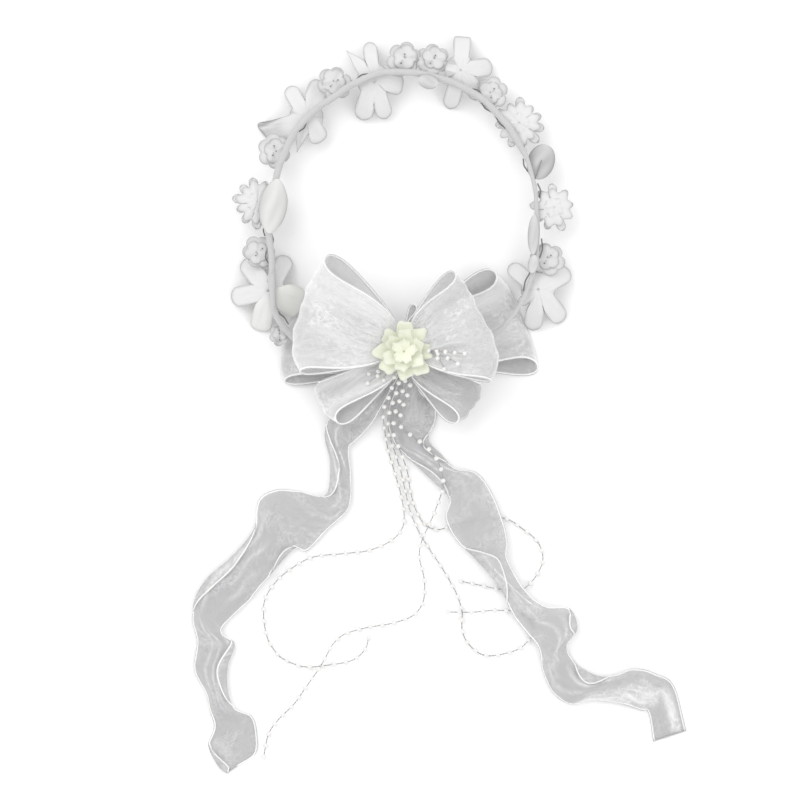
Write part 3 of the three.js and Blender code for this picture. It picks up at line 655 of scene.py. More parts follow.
def between(tree, value, low, high, start=0.0, end=1.0):
    made = node(tree, "ShaderNodeMapRange", clamp=True)
    for socket, given in zip(made.inputs, (value, low, high, start, end)):
        fill(tree, socket, given)
    return made.outputs[0]


def bump(tree, shader, height, strength, distance):
    made = node(tree, "ShaderNodeBump", Height=height, Strength=strength, Distance=distance)
    tree.links.new(made.outputs[0], shader.inputs["Normal"])


def random_between(tree, low, high, seed):
    made = node(tree, "FunctionNodeRandomValue", data_type="FLOAT", Seed=seed)
    fill(tree, made.inputs[2], low)
    fill(tree, made.inputs[3], high)
    return made.outputs[1]


def uv_map(tree):
    return node(tree, "ShaderNodeUVMap", uv_map="UVMap").outputs[0]


def place_on_piece(tree):
    return node(tree, "ShaderNodeTexCoord").outputs["Object"]


def point_value(tree, name):
    return node(tree, "ShaderNodeAttribute", attribute_name=name).outputs["Fac"]


def grey(value):
    return (value, value, value, 1.0)


def darker(colour, factor):
    return (*(part * factor for part in colour[:3]), 1)


def ridge(tree, value, width):
    """1 along the lines where the value is a half, falling to 0 a width away."""
    off = reckon(tree, "ABSOLUTE", reckon(tree, "SUBTRACT", value, 0.5))
    return between(tree, off, 0.0, width, 1.0, 0.0)


def organza_material():
    """Sheer cloth: grey where it is one flat layer, with painted highlight in its gathers and creases, which are also
    denser.
    """
    material, tree, shader = new_material("Organza")
    uv = uv_map(tree)
    # white is the share of painted highlight, and gather is where the gathers' streaks of painted highlight show.
    white, dense, gather = (point_value(tree, name) for name in ("white", "dense", "gather"))
    drift = node(tree, "ShaderNodeTexNoise", Vector=uv, Scale=0.4, Detail=2.0).outputs["Color"]
    bent = node(tree, "ShaderNodeVectorMath", operation="MULTIPLY_ADD")
    for socket, value in zip(bent.inputs, (drift, (2.2, 2.2, 0.0), uv)):
        fill(tree, socket, value)
    bent = bent.outputs[0]
    pleats = between(tree, noise(tree, scaled(tree, bent, (0.35, 1.5, 1)), 1.0, 3.0, 0.6), 0.45, 0.7)
    strings = ridge(tree, noise(tree, scaled(tree, bent, (0.4, 1.2, 1)), 1.1, 2.0), 0.03)
    creases = ridge(tree, noise(tree, bent, 1.1, 3.0, 0.6), 0.03)
    patches = between(tree, noise(tree, uv, 0.45, 2.0), 0.42, 0.62)
    mottle = between(tree, noise(tree, uv, 2.6, 4.0, 0.65), 0.42, 0.75)
    streaks = reckon(tree, "MAXIMUM", pleats, reckon(tree, "MULTIPLY", strings, 0.7))
    gathers = reckon(tree, "MULTIPLY", gather, reckon(tree, "MAXIMUM", streaks, mottle))
    crumple = reckon(tree, "MAXIMUM", reckon(tree, "MULTIPLY", creases, 0.7), mottle)
    crush = reckon(tree, "MULTIPLY", patches, crumple)
    folds = reckon(tree, "MAXIMUM", gathers, reckon(tree, "MULTIPLY", crush, 0.8))
    # The folds add painted highlight to the grey, and opacity to the alpha.
    share = reckon(tree, "MULTIPLY_ADD", folds, 0.6, white, True)
    tree.links.new(mix_colours(tree, share, ORGANZA_GREY, ORGANZA_HIGHLIGHT), shader.inputs["Base Color"])
    tree.links.new(reckon(tree, "MULTIPLY_ADD", folds, 0.3, dense, True), shader.inputs["Alpha"])
    shader.inputs["Roughness"].default_value = 0.55
    shader.inputs["Sheen Weight"].default_value = 0.15
    weave_u = node(tree, "ShaderNodeTexWave", Vector=uv, Scale=5.0, bands_direction="X").outputs["Fac"]
    weave_v = node(tree, "ShaderNodeTexWave", Vector=uv, Scale=5.0, bands_direction="Y").outputs["Fac"]
    weave = reckon(tree, "MULTIPLY", reckon(tree, "ADD", weave_u, weave_v), 0.08)
    bump(tree, shader, reckon(tree, "ADD", weave, reckon(tree, "MULTIPLY", folds, 0.6)), 0.3, 0.0006)
    return material


def cloth_material(name, base, tinted, roughness=0.8):
    """Pressed fabric of a petal, with a faint crease and mottle, painted shade where its shade value is high, and
    cream where it is tinted.
    """
    material, tree, shader = new_material(name)
    uv = uv_map(tree)
    place_at = place_on_piece(tree)
    tint = point_value(tree, "tint")
    mottle = between(tree, noise(tree, place_at, 90.0, 3.0, 0.6), 0.35, 0.7, 0.0, 0.3)
    veins = between(tree, noise(tree, scaled(tree, uv, (0.8, 5.0, 1)), 1.0, 2.0), 0.4, 0.7)
    # shade mixes in a darker colour: painted shade at rims, hollows, pleats and wraps, and also a darker tone for a
    # whole leaf or a stem.
    shade = point_value(tree, "shade")
    plain = mix_colours(tree, mottle, base, darker(base, 0.9))
    plain = mix_colours(tree, shade, plain, darker(base, 0.36))
    tree.links.new(mix_colours(tree, tint, plain, tinted), shader.inputs["Base Color"])
    shader.inputs["Roughness"].default_value = roughness
    shader.inputs["Sheen Weight"].default_value = 0.15
    fibres = noise(tree, place_at, 2600.0, 2.0)
    relief = reckon(tree, "MULTIPLY_ADD", veins, 0.8, reckon(tree, "MULTIPLY", fibres, 0.15))
    bump(tree, shader, relief, 0.35, 0.0004)
    return material


def tape_material(name, base):
    """Crinkled crepe tape."""
    material, tree, shader = new_material(name)
    uv = uv_map(tree)
    crinkle = noise(tree, scaled(tree, uv, (14.0, 3.0, 1)), 2.0, 4.0, 0.6)
    laps = between(tree, crinkle, 0.35, 0.7)
    tree.links.new(mix_colours(tree, laps, base, darker(base, 0.86)), shader.inputs["Base Color"])
    shader.inputs["Roughness"].default_value = 0.85
    bump(tree, shader, crinkle, 0.5, 0.0003)
    return material


def thread_material(name, base, pitch):
    """Thread with the slant of its twist."""
    material, tree, shader = new_material(name)
    uv = uv_map(tree)
    twist = node(tree, "ShaderNodeTexWave", Vector=uv, Scale=pitch, bands_direction="DIAGONAL").outputs["Fac"]
    place_at = place_on_piece(tree)
    faded = between(tree, noise(tree, place_at, 14.0, 1.0), 0.4, 0.6)
    worn = mix_colours(tree, faded, base, darker(base, 0.8))
    tree.links.new(mix_colours(tree, twist, worn, base), shader.inputs["Base Color"])
    shader.inputs["Roughness"].default_value = 0.6
    bump(tree, shader, twist, 0.4, 0.0002)
    return material


def pearl_material(base):
    """Nacre: a soft gloss with a slow drift of warmth."""
    material, tree, shader = new_material("Pearl")
    place_at = place_on_piece(tree)
    drift = noise(tree, place_at, 320.0, 2.0)
    warm = (base[0], base[1] * 0.98, base[2] * 0.95, 1)
    tree.links.new(mix_colours(tree, between(tree, drift, 0.3, 0.7), base, warm), shader.inputs["Base Color"])
    tree.links.new(between(tree, drift, 0.2, 0.8, 0.2, 0.32), shader.inputs["Roughness"])
    shader.inputs["Coat Weight"].default_value = 0.4
    return material


def dot_material():
    """The dark heads of the stamens, and the dark wires laid beside the tube as painted shadow."""
    material, tree, shader = new_material("Dark heads and painted shadow")
    place_at = place_on_piece(tree)
    grain = noise(tree, place_at, 1800.0, 2.0)
    tree.links.new(mix_colours(tree, grain, grey(0.1), grey(0.2)), shader.inputs["Base Color"])
    shader.inputs["Roughness"].default_value = 0.6
    return material


def floor_material(base):
    material, tree, shader = new_material("Studio floor")
    place_at = place_on_piece(tree)
    cloud = noise(tree, place_at, 3.0, 2.0)
    tree.links.new(mix_colours(tree, cloud, base, darker(base, 0.99)), shader.inputs["Base Color"])
    shader.inputs["Roughness"].default_value = 0.9
    return material


def material_of(name, maker, *args):
    """The material of that name, made the first time that it is asked for."""
    return bpy.data.materials.get(name) or maker(*args)


def organza():
    return material_of("Organza", organza_material)


def hem_thread(context):
    colours = context.scene.wreath_colours
    return material_of("Hem thread", thread_material, "Hem thread", (*colours.hem, 1), 1.6)


def petal_cloth(context):
    colours = context.scene.wreath_colours
    pale_cream = (*(lerp(np.array(colours.cream), 1.0, 0.5)), 1)
    return material_of("Petal cloth", cloth_material, "Petal cloth", (*colours.petals, 1), pale_cream)


def cream_cloth(context):
    colours = context.scene.wreath_colours
    return material_of("Cream cloth", cloth_material, "Cream cloth", (*colours.cream, 1), (*colours.cream, 1))


def ring_tape(context):
    return material_of("Ring tape", tape_material, "Ring tape", (*context.scene.wreath_colours.tape, 1))


def strand_thread(context):
    colours = context.scene.wreath_colours
    return material_of("Strand thread", thread_material, "Strand thread", (*colours.thread, 1), 3.0)


def dark_heads_and_shadow_wires():
    return material_of("Dark heads and painted shadow", dot_material)


def pearl(context):
    return material_of("Pearl", pearl_material, (*context.scene.wreath_colours.pearl, 1))


# Geometry Nodes

def new_tree(name, inputs):
    """A geometry tree with its ends. inputs are rows of name, socket type and default value."""
    tree = bpy.data.node_groups.new(name, "GeometryNodeTree")
    tree.interface.new_socket(name="Geometry", in_out="INPUT", socket_type="NodeSocketGeometry")
    tree.interface.new_socket(name="Geometry", in_out="OUTPUT", socket_type="NodeSocketGeometry")
    for label, kind, value in inputs:
        socket = tree.interface.new_socket(name=label, in_out="INPUT", socket_type=kind)
        socket.default_value = value
    return tree, tree.nodes.new("NodeGroupInput"), tree.nodes.new("NodeGroupOutput")


def solve(piece, tree, values):
    """The plain mesh that the tree makes of a piece, which is then removed."""
    modifier = piece.modifiers.new(tree.name, "NODES")
    modifier.node_group = tree
    for item in tree.interface.items_tree:
        if item.in_out == "INPUT" and item.name in values:
            modifier[item.identifier] = values[item.name]
    depsgraph = bpy.context.evaluated_depsgraph_get()
    mesh = bpy.data.meshes.new_from_object(
        piece.evaluated_get(depsgraph), preserve_all_data_layers=True, depsgraph=depsgraph
    )
    bpy.data.objects.remove(piece)
    return mesh


def beads_tree(bead_material, line_material):
    """Beads at even steps along a line, on a thread of two twisted plies."""
    tree, start, end = new_tree("Beads on a thread", [
        ("Bead radius", "NodeSocketFloat", 0.0015), ("Bead step", "NodeSocketFloat", 0.0073),
        ("Ply radius", "NodeSocketFloat", 0.0003), ("Twist", "NodeSocketFloat", 1500.0),
        ("Size spread", "NodeSocketFloat", 0.06), ("Seed", "NodeSocketInt", 4),
    ])
    line = node(tree, "GeometryNodeMeshToCurve", Mesh=start.outputs["Geometry"]).outputs[0]
    step, radius = start.outputs["Bead step"], start.outputs["Bead radius"]
    stops = node(tree, "GeometryNodeResampleCurve", mode="LENGTH", Curve=line, Length=step)
    ball = node(tree, "GeometryNodeMeshUVSphere", Segments=12, Rings=8, Radius=radius)
    spread = start.outputs["Size spread"]
    least, most = reckon(tree, "SUBTRACT", 1.0, spread), reckon(tree, "ADD", 1.0, spread)
    size = random_between(tree, least, most, start.outputs["Seed"])
    beads = node(
        tree, "GeometryNodeInstanceOnPoints", Points=stops.outputs[0], Instance=ball.outputs["Mesh"], Scale=size,
    )
    smooth = node(tree, "GeometryNodeSetShadeSmooth")
    real = node(tree, "GeometryNodeRealizeInstances", Geometry=beads.outputs[0])
    tree.links.new(real.outputs[0], smooth.inputs[0])
    pearls = node(tree, "GeometryNodeSetMaterial", Geometry=smooth.outputs[0], Material=bead_material)

    along = node(tree, "GeometryNodeSplineParameter").outputs["Length"]
    tilt = reckon(tree, "MULTIPLY", along, start.outputs["Twist"])
    twisted = node(tree, "GeometryNodeSetCurveTilt", Curve=line, Tilt=tilt)
    ply_radius = start.outputs["Ply radius"]
    ply = node(tree, "GeometryNodeCurvePrimitiveCircle", Resolution=5, Radius=ply_radius)
    plies = node(tree, "GeometryNodeJoinGeometry")
    for way in (1.0, -1.0):
        off = node(tree, "ShaderNodeCombineXYZ", X=reckon(tree, "MULTIPLY", ply_radius, 0.8 * way))
        moved = node(tree, "GeometryNodeTransform", Geometry=ply.outputs["Curve"], Translation=off.outputs[0])
        tree.links.new(moved.outputs[0], plies.inputs[0])
    string = node(tree, "GeometryNodeCurveToMesh", Curve=twisted.outputs[0], Profile_Curve=plies.outputs[0])
    string.inputs["Fill Caps"].default_value = True
    real_string = node(tree, "GeometryNodeRealizeInstances", Geometry=string.outputs[0])
    thread = node(tree, "GeometryNodeSetMaterial", Geometry=real_string.outputs[0], Material=line_material)

    both = node(tree, "GeometryNodeJoinGeometry")
    tree.links.new(pearls.outputs[0], both.inputs[0])
    tree.links.new(thread.outputs[0], both.inputs[0])
    tree.links.new(both.outputs[0], end.inputs[0])
    return tree


def whorl_tree(name, material):
    """Copies of the given mesh round the origin, each turned on and a little different in size."""
    tree, start, end = new_tree(name, [
        ("Count", "NodeSocketInt", 11), ("Start", "NodeSocketFloat", 0.0),
        ("Size spread", "NodeSocketFloat", 0.1), ("Tilt spread", "NodeSocketFloat", 0.1),
        ("Seed", "NodeSocketInt", 1),
    ])
    ring = node(tree, "GeometryNodeMeshLine", mode="OFFSET", Count=start.outputs["Count"])
    fill(tree, ring.inputs["Offset"], (0.0, 0.0, 0.0))
    index = node(tree, "GeometryNodeInputIndex").outputs[0]
    step = reckon(tree, "DIVIDE", 2 * math.pi, start.outputs["Count"])
    turn = reckon(tree, "MULTIPLY_ADD", index, step, start.outputs["Start"])
    seed, tilts = start.outputs["Seed"], start.outputs["Tilt spread"]
    tilt = random_between(tree, reckon(tree, "MULTIPLY", tilts, -1.0), tilts, seed)
    size = random_between(tree, reckon(tree, "SUBTRACT", 1.0, start.outputs["Size spread"]), 1.0, seed)
    way = node(tree, "ShaderNodeCombineXYZ", X=tilt, Z=turn)
    copies = node(
        tree, "GeometryNodeInstanceOnPoints", Points=ring.outputs[0], Instance=start.outputs["Geometry"],
        Rotation=way.outputs[0], Scale=size,
    )
    real = node(tree, "GeometryNodeRealizeInstances", Geometry=copies.outputs[0])
    done = node(tree, "GeometryNodeSetMaterial", Geometry=real.outputs[0], Material=material)
    tree.links.new(done.outputs[0], end.inputs[0])
    return tree


def whorl(shape, name, material, centre, **values):
    """The shape, made about the origin, repeated round a centre in the wreath's own millimetres."""
    part = place(name + "_part", shape.mesh(name, [material], in_place=False))
    made = solve(part, whorl_tree(name, material), values)
    shift = Vector(in_row(centre))
    for vertex in made.vertices:
        vertex.co += shift
    return made


def joined(name, *meshes):
    """One object from several meshes, with their materials and UVs kept."""
    parts = [place(f"{name}_{index}", mesh) for index, mesh in enumerate(meshes)]
    for part in parts:
        part.select_set(True)
    bpy.context.view_layer.objects.active = parts[0]
    with bpy.context.temp_override(active_object=parts[0], selected_editable_objects=parts):
        bpy.ops.object.join()
    parts[0].name = name
    parts[0].select_set(False)
    return parts[0]


# Pieces

def seat_of(angle, out, radius):
    return polar(angle, ring_reach(angle) + out * radius)


def petal_outline(aim, length, half_width, tip):
    """Angles and reaches of one petal's rim, from its right side round its tip to its left."""
    corners = np.array([(*corner, 0.0) for corner in PETAL_TIPS[tip]])
    half = smooth_path(corners, PETAL_STEPS // 2)
    across = np.concatenate([-half[:, 1], half[::-1, 1][1:]]) * half_width
    along = np.concatenate([half[:, 0], half[::-1, 0][1:]]) * length
    if tip == "pleated":
        along = along + FAN_SLANT * across * along / length
    return aim + np.degrees(np.arctan2(across, along)), np.hypot(along, across)


def bloom_rim(petals, radius):
    """The rim of a whole bloom: its petals in order, and each rim point's angle, reach and petal."""
    notch = NOTCH * radius
    rows = sorted(petals, key=lambda row: row[0])
    angles, reaches, owners = [], [], []
    for k, (aim, reach, half, _, _, tip) in enumerate(rows):
        before = rows[k - 1][0] - (360 if k == 0 else 0)
        after = rows[(k + 1) % len(rows)][0] + (360 if k == len(rows) - 1 else 0)
        width = reach * radius * math.sin(math.radians(half)) * PETAL_FULLNESS
        angle, distance = petal_outline(aim, reach * radius, width, tip)
        low, high = (before + aim) / 2 + 0.4, (after + aim) / 2 - 0.4
        angle = np.clip(angle, low, high)
        distance = np.maximum(distance, notch)
        if high - angle[-1] > 6:
            angle = np.concatenate([angle, np.linspace(angle[-1], high, 4)[1:]])
            distance = np.concatenate([distance, np.full(3, notch)])
        if angle[0] - low > 6:
            angle = np.concatenate([np.linspace(low, angle[0], 4)[:-1], angle])
            distance = np.concatenate([np.full(3, notch), distance])
        angles.append(angle)
        reaches.append(distance)
        owners.append(np.full(len(angle), k))
    return rows, np.concatenate(angles), np.concatenate(reaches), np.concatenate(owners)


def hub_height(out, wall):
    """How high a bloom's hub is, for its petals to pass under the tube, which is a share out along them."""
    seat = wall / 2 + TIP_GAP
    return (TUBE_FOOT - CLEARANCE - wall / 2 - out**2 * seat) / (1 - out**2)


def flower_shape(row, wall):
    """One five-petal flower: petals that droop from the hub, cupped and creased along their middles."""
    angle, out, size, petals = row[1:]
    rng = np.random.default_rng(int(angle * 10))
    radius = FLOWER_RADIUS * size
    centre = seat_of(angle, out, FLOWER_RADIUS)
    rows, turns, reaches, owners = bloom_rim(petals, radius)
    longest = max(petal[1] for petal in petals)
    tip = PETAL_SEAT / 2 + TIP_GAP
    top = hub_height(out / size / longest, PETAL_SEAT) - 0.6
    share = 1 - (1 - np.arange(PETAL_ROWS + 1) / PETAL_ROWS) ** 1.5
    distance = lerp(0.6, reaches[:, None], share[None])
    aims, spans, halves, cups, tints = np.array([petal[:5] for petal in rows]).T[:, owners, None]
    lengths = spans * radius
    pleated = np.array([petal[5] == "pleated" for petal in rows])[owners][:, None]
    aside = np.radians(turns[:, None] - aims)
    across = distance * np.sin(aside) / (lengths * np.sin(np.radians(halves)) * PETAL_FULLNESS)
    along = np.clip(distance / lengths, 0, 1)
    height = top - (top - tip) * (distance / radius / longest) ** 2
    out_from_hub = smoothstep((along - 0.15) / 0.5)
    height = height + cups * across**2 * out_from_hub * (1 - 0.3 * along)
    height = height - 0.4 * np.exp(-((across / 0.2) ** 2)) * out_from_hub * (1 - along**3)
    height = height + 0.4 * ripple(rng, along, across, 1.0, 1.2) * out_from_hub
    pleats = pleated * smoothstep((along - 0.5) / 0.3)
    height = height + 0.45 * pleats * np.sin(FAN_PLEATS * across)
    height = np.maximum(height, wall / 2 + TIP_GAP)
    grid = polar(turns[:, None], distance) + centre
    grid[..., 2] = height
    uv = np.stack([along * lengths / 10, across + owners[:, None]], axis=-1)
    shape = Shape()
    # Painted shade: dark lines along the petals' rims and sides, shade in the hollow near the hub, and dark lines in
    # the pleats.
    rim = np.exp(-(reaches[:, None] - distance) / 0.6)
    sides = smoothstep((np.abs(across) - 0.7) / 0.25) * out_from_hub
    hollow = 0.25 * smoothstep((0.5 - along) / 0.5) * np.abs(ripple(rng, along, across, 1.5, 1.0))
    pressed = 0.4 * pleats * (0.5 + 0.5 * np.sin(FAN_PLEATS * across))
    shade = np.clip(0.9 * np.maximum(rim, 0.45 * sides) + hollow + pressed, 0, 1)
    shape.shell(grid, wall, uv, wrap_u=True, tint=tints * smoothstep(along * 3), shade=shade)
    return shape


def finger_shape(radius, droop, wall):
    """One narrow petal along +X from the origin, round at its tip, with a crease."""
    u = (np.arange(11) / 10)[:, None]
    v = np.linspace(-1, 1, 7)[None]
    along = lerp(FINGER_FOOT, 1.0, u**0.9)
    rounded = np.sqrt(np.maximum(1 - (np.maximum(along - 0.8, 0) / 0.2) ** 2, 0.02))
    breadth = radius * FINGER_WIDTH * lerp(0.7, 1.0, smoothstep((along - 0.3) / FINGER_TAPER)) * rounded
    height = -droop * along**2 - 0.35 * np.exp(-((v / 0.3) ** 2)) + 0.35 * v**2
    grid = np.stack(np.broadcast_arrays(along * radius, breadth * v, height), axis=-1)
    shape = Shape()
    # Painted shade along the petal's edges and at its tip.
    shade = 0.6 * np.maximum(np.abs(v) ** 4, smoothstep((u - 0.85) / 0.15))
    shape.shell(grid, wall, np.stack(np.broadcast_arrays(u * 2, v), axis=-1), shade=shade)
    return shape


def disc_grid(radius, height_at, steps, around, hole, rim_at):
    """A round sheet with a hole: its points, their UVs, and how near each is to the rim."""
    turn = np.arange(around) * 360 / around
    reach = radius * rim_at(turn)
    distance = lerp(hole, reach[:, None], np.linspace(0, 1, steps)[None])
    grid = polar(turn[:, None], distance)
    grid[..., 2] = height_at(distance / radius, turn[:, None])
    uv = np.stack([distance / 10, np.broadcast_to(turn[:, None] / 60, distance.shape)], axis=-1)
    rim_shade = np.broadcast_to(np.linspace(0, 1, steps) ** 8, distance.shape)
    return grid, uv, rim_shade


def build_ring(context):
    """The tube of wire under spiral tape, and dark wires beside it that stand in as painted shadow in the gaps."""
    sizes = context.scene.wreath_sizes
    wall, pitch = sizes.tape_wall / MM, sizes.tape_pitch / MM
    radius = RING_TUBE / 2
    shape = Shape()
    corners = polar(RING_ROWS[:-1, 0], RING_ROWS[:-1, 1] * RING_RADIUS, RING_HEIGHT)
    path = smooth_path(corners, RING_STEPS, closed=True)
    along = np.linalg.norm(path - np.roll(path, 1, axis=0), axis=1).cumsum()
    turns = round(along[-1] / pitch)
    around = np.arange(RING_SIDES)[None] / RING_SIDES
    phase = (along[:, None] / along[-1] * turns + around) % 1.0
    lap = smoothstep(phase / 0.9) * (1 - smoothstep((phase - 0.9) / 0.1))
    rng = np.random.default_rng(5)
    lumps = TAPE_LUMPS * ripple(rng, along[:, None] / along[-1] * 40, around, 1.0, 1.0, 6)
    bearing = np.degrees(np.arctan2(path[:, 1], path[:, 0]))[:, None]
    thin = RING_THINNING * smoothstep((bearing + 55) / 15) * smoothstep((35 - bearing) / 15)
    shape.tube(path, radius - thin - wall + wall * lap + lumps, RING_SIDES, closed=True)
    dress(shape.piece("wreath_ring_taped", [ring_tape(context)]), "tape", "wreath_ring")

    wires = Shape()
    for start, end, side in SIDE_SHADOW_WIRES:
        share = np.linspace(0, 1, 30)
        angle = lerp(start, end, share) % 360
        off = side * (radius - 0.2 + 0.9 * np.sin(np.pi * share) ** 2)
        wires.tube(polar(angle, ring_reach(angle) + off, RING_HEIGHT - 0.8), WIRE_RADIUS, 6)
    dress(wires.piece("shadow_line_wires", [dark_heads_and_shadow_wires()]), "tape")


def build_flowers(context):
    wall = context.scene.wreath_sizes.petal_wall / MM
    for row in FLOWERS:
        dress(flower_shape(row, wall).piece(row[0] + "_petals", [petal_cloth(context)]), "white_cloth", row[0])


def build_daisies(context):
    wall = context.scene.wreath_sizes.petal_wall / MM
    cloth = petal_cloth(context)
    for name, angle, out, size, petals, turn in DAISIES:
        radius, droop = DAISY_RADIUS * size, DAISY_DROOP * size
        centre = seat_of(angle, out, DAISY_RADIUS)
        centre[2] = TUBE_FOOT - CLEARANCE - PETAL_SEAT / 2 + droop * (out / size) ** 2
        seed = int(angle * 7)
        finger = finger_shape(radius, droop, wall)
        fingers = whorl(finger, name + "_fingers", cloth, centre, **{
            "Count": petals, "Start": math.radians(turn), "Seed": seed, "Size spread": 0.26, "Tilt spread": 0.16,
        })
        start = np.random.default_rng(seed).uniform(0, 360)

        def rim(at):
            lobes = 0.1 * np.cos(np.radians((at - turn) * petals))
            return 0.9 + lobes + 0.05 * np.cos(np.radians(at * 5 + start))

        def height(reach, at):
            folds = 0.5 * np.cos(np.radians(at * 4 + start)) + 0.3 * np.cos(np.radians((at - turn) * petals))
            return -droop * 0.45 * reach**2 + folds * reach

        disc = Shape()
        for share, lift in DAISY_DISCS:
            grid, uv, rim_shade = disc_grid(radius * share, height, 9, petals * 8, 0.4, rim)
            # Painted shade towards each disc's rim.
            disc.shell(grid + centre + UP * lift, wall, uv, wrap_u=True, shade=0.35 * rim_shade)
        dress(joined(name + "_petals", fingers, disc.mesh(name + "_disc", [cloth])), "white_cloth", name)


def build_blossoms(context):
    wall = context.scene.wreath_sizes.petal_wall / MM
    cloth = petal_cloth(context)
    for name, angle, out, size, turn in BLOSSOMS:
        radius = BLOSSOM_RADIUS * size * BLOSSOM_SPREAD
        centre = seat_of(angle, out, BLOSSOM_RADIUS)
        top = TUBE_FOOT - CLEARANCE - PETAL_SEAT / 2 - BLOSSOM_RUFFLE
        rng = np.random.default_rng(int(angle))
        shape = Shape()
        for share, lift, lobes in BLOSSOM_LAYERS:
            start, second = rng.uniform(0, 360, 2)
            aside = polar(rng.uniform(0, 360), radius * (1 - share) * 0.5)

            def rim(at):
                lobe = np.abs(np.cos(np.radians((at - start) * lobes / 2))) ** 0.5
                return 0.72 + 0.25 * lobe + 0.04 * np.cos(np.radians(at * 2 + second))

            def height(reach, at):
                wave = np.cos(np.radians((at - turn) * 4)) * 0.7 * BLOSSOM_RUFFLE
                return wave * reach**1.3 + 0.35 * reach**2 * np.cos(np.radians(at * 7 + second))

            grid, uv, rim_shade = disc_grid(radius * share, height, 9, 80, 0.4, rim)
            # Painted shade: a little all over, and more towards the rim.
            shade = 0.1 + 0.45 * rim_shade
            shape.shell(grid + centre + aside + UP * (top + lift), wall, uv, wrap_u=True, shade=shade)
        ruffle = shape.mesh(name + "_cloth", [cloth])
        pin = Shape()
        stem = np.array([(0.6, 0, 0.4), (1.8, 0, 1.8), (3.1, 0, 2.3)])
        pin.tube(smooth_path(stem, 7), STAMEN_RADIUS, 5)
        pair = {
            "Count": 2, "Start": math.radians(turn + 40), "Seed": int(angle), "Size spread": 0.1, "Tilt spread": 0.2,
        }
        pins = whorl(pin, name + "_stamens", strand_thread(context), centre + UP * top, **pair)
        head = Shape()
        bead = np.array([(2.75, 0, 2.2), (2.95, 0, 2.3), (3.2, 0, 2.36), (3.45, 0, 2.4), (3.65, 0, 2.4)])
        head.tube(bead, np.array([0.1, 0.45, 0.6, 0.45, 0.1]), 8)
        dots = whorl(head, name + "_dots", dark_heads_and_shadow_wires(), centre + UP * top, **pair)
        dress(joined(name + "_ruffle", ruffle, pins, dots), "white_cloth", name)


def build_leaves(context):
    wall = context.scene.wreath_sizes.petal_wall / MM
    for name, angle, out, long, wide, bow, turn, over, tint, shade, point in LEAVES:
        centre = seat_of(angle, out, FLOWER_RADIUS)
        along = polar(turn, long * FLOWER_RADIUS / 2)
        across = polar(turn + 90, wide * FLOWER_RADIUS / 2)
        gap = CLEARANCE + PETAL_SEAT / 2
        height = TUBE_TOP + gap if over else TUBE_FOOT - gap
        rng = np.random.default_rng(int(angle * 10))
        s = np.sin(np.linspace(-1, 1, 33)[:, None] * np.pi / 2)
        t = np.linspace(-1, 1, 17)[None]
        breadth = lerp(0.06, 1.0, np.maximum(1 - s * s, 0) ** point)
        side = t * breadth
        plump = (1 - s * s) * wide
        puff = 0.11 * FLOWER_RADIUS * (1 - t**2) * plump
        wraps = 0.5 * plump * np.sin(2 * np.pi * (0.9 * t + 0.5 * s)) * (1 - t**2)
        crumple = 0.4 * wide * ripple(rng, s, t, 1.2, 1.5, 5) * (1 - s * s)
        grid = centre + along * s[..., None] + across * side[..., None]
        grid[..., 2] = height - bow * FLOWER_RADIUS * side**2 + puff + wraps + crumple - 0.4
        uv = np.stack(np.broadcast_arrays(s * long * 1.2, side), axis=-1)
        shape = Shape()
        # Painted shade: darker at the leaf's edges and in the hollows between its wraps, on top of the shade given
        # for the whole leaf.
        edge = np.abs(t) ** 4 * 0.4
        wrap_shade = 0.3 * smoothstep(0.5 - wraps) * (1 - s * s)
        shape.shell(grid, wall, uv, tint=tint, shade=np.clip(shade + edge + wrap_shade, 0, 1))
        if name == "leaf_2":
            stem = centre + along * np.array([[-1.3], [-0.6], [0.1]]) + UP * (height + 2.2)
            shape.tube(smooth_path(stem, 9), np.linspace(STEM_RADIUS, 0.2, 9), 6, shade=1.0)
        dress(shape.piece(name + "_cloth", [petal_cloth(context)]), "white_cloth", name)


def loop_point(row, u, v):
    """The loop's strip: u runs out from the knot and back, v across the ribbon."""
    out, side = polar(row["aim"]), polar(row["aim"] + 90)
    neck_reach = KNOT_RADIUS + CLEARANCE + RIBBON_WALL
    climb = math.radians(row["climb"])
    neck = KNOT + polar(row["tie"]) * math.cos(climb) * neck_reach + UP * math.sin(climb) * neck_reach
    far = row["reach"] * LOOP_REACH - neck_reach
    turn = 2 * np.pi * u
    away = (1 - np.cos(turn)) / 2
    across = 2 * v - 1
    toward = across * (1 if row["curl"] >= 0 else -1)
    flare = away ** lerp(0.42, 0.58, smoothstep(-toward))
    spread = across * lerp(RIBBON_NECK, row["width"] * RIBBON_WIDTH, flare) / 2
    mouth = row["mouth"] * np.clip(toward, 0, 1) ** 2 * away**2.5
    parted = mouth + row["lip"] * np.clip(-toward, 0, 1) ** 2 * away**3
    spread = spread - np.sign(across) * parted * np.sin(turn)
    swell = row["rise"] * LOOP_RISE / 2 * np.sin(turn) * away**0.5 + RIBBON_WALL * np.cos(turn / 2)
    curl = math.radians(row["curl"])
    curled = np.maximum(across * np.sign(curl), 0) * curl * away
    lift = np.abs(spread) * np.sin(np.abs(curled) / 2)
    corner = lerp(LOOP_CORNER, row["corner"], smoothstep(-2 * toward))
    reach_out = far * away * (1 - corner * across**4) + row["lean"] * spread * away
    reach_side = spread * np.cos(curled / 2) - swell * np.sin(curled)
    rise = lift + swell * np.cos(curled) + far * away * math.tan(math.radians(row["slope"]))
    return neck + out * reach_out[..., None] + side * reach_side[..., None] + UP * rise[..., None]


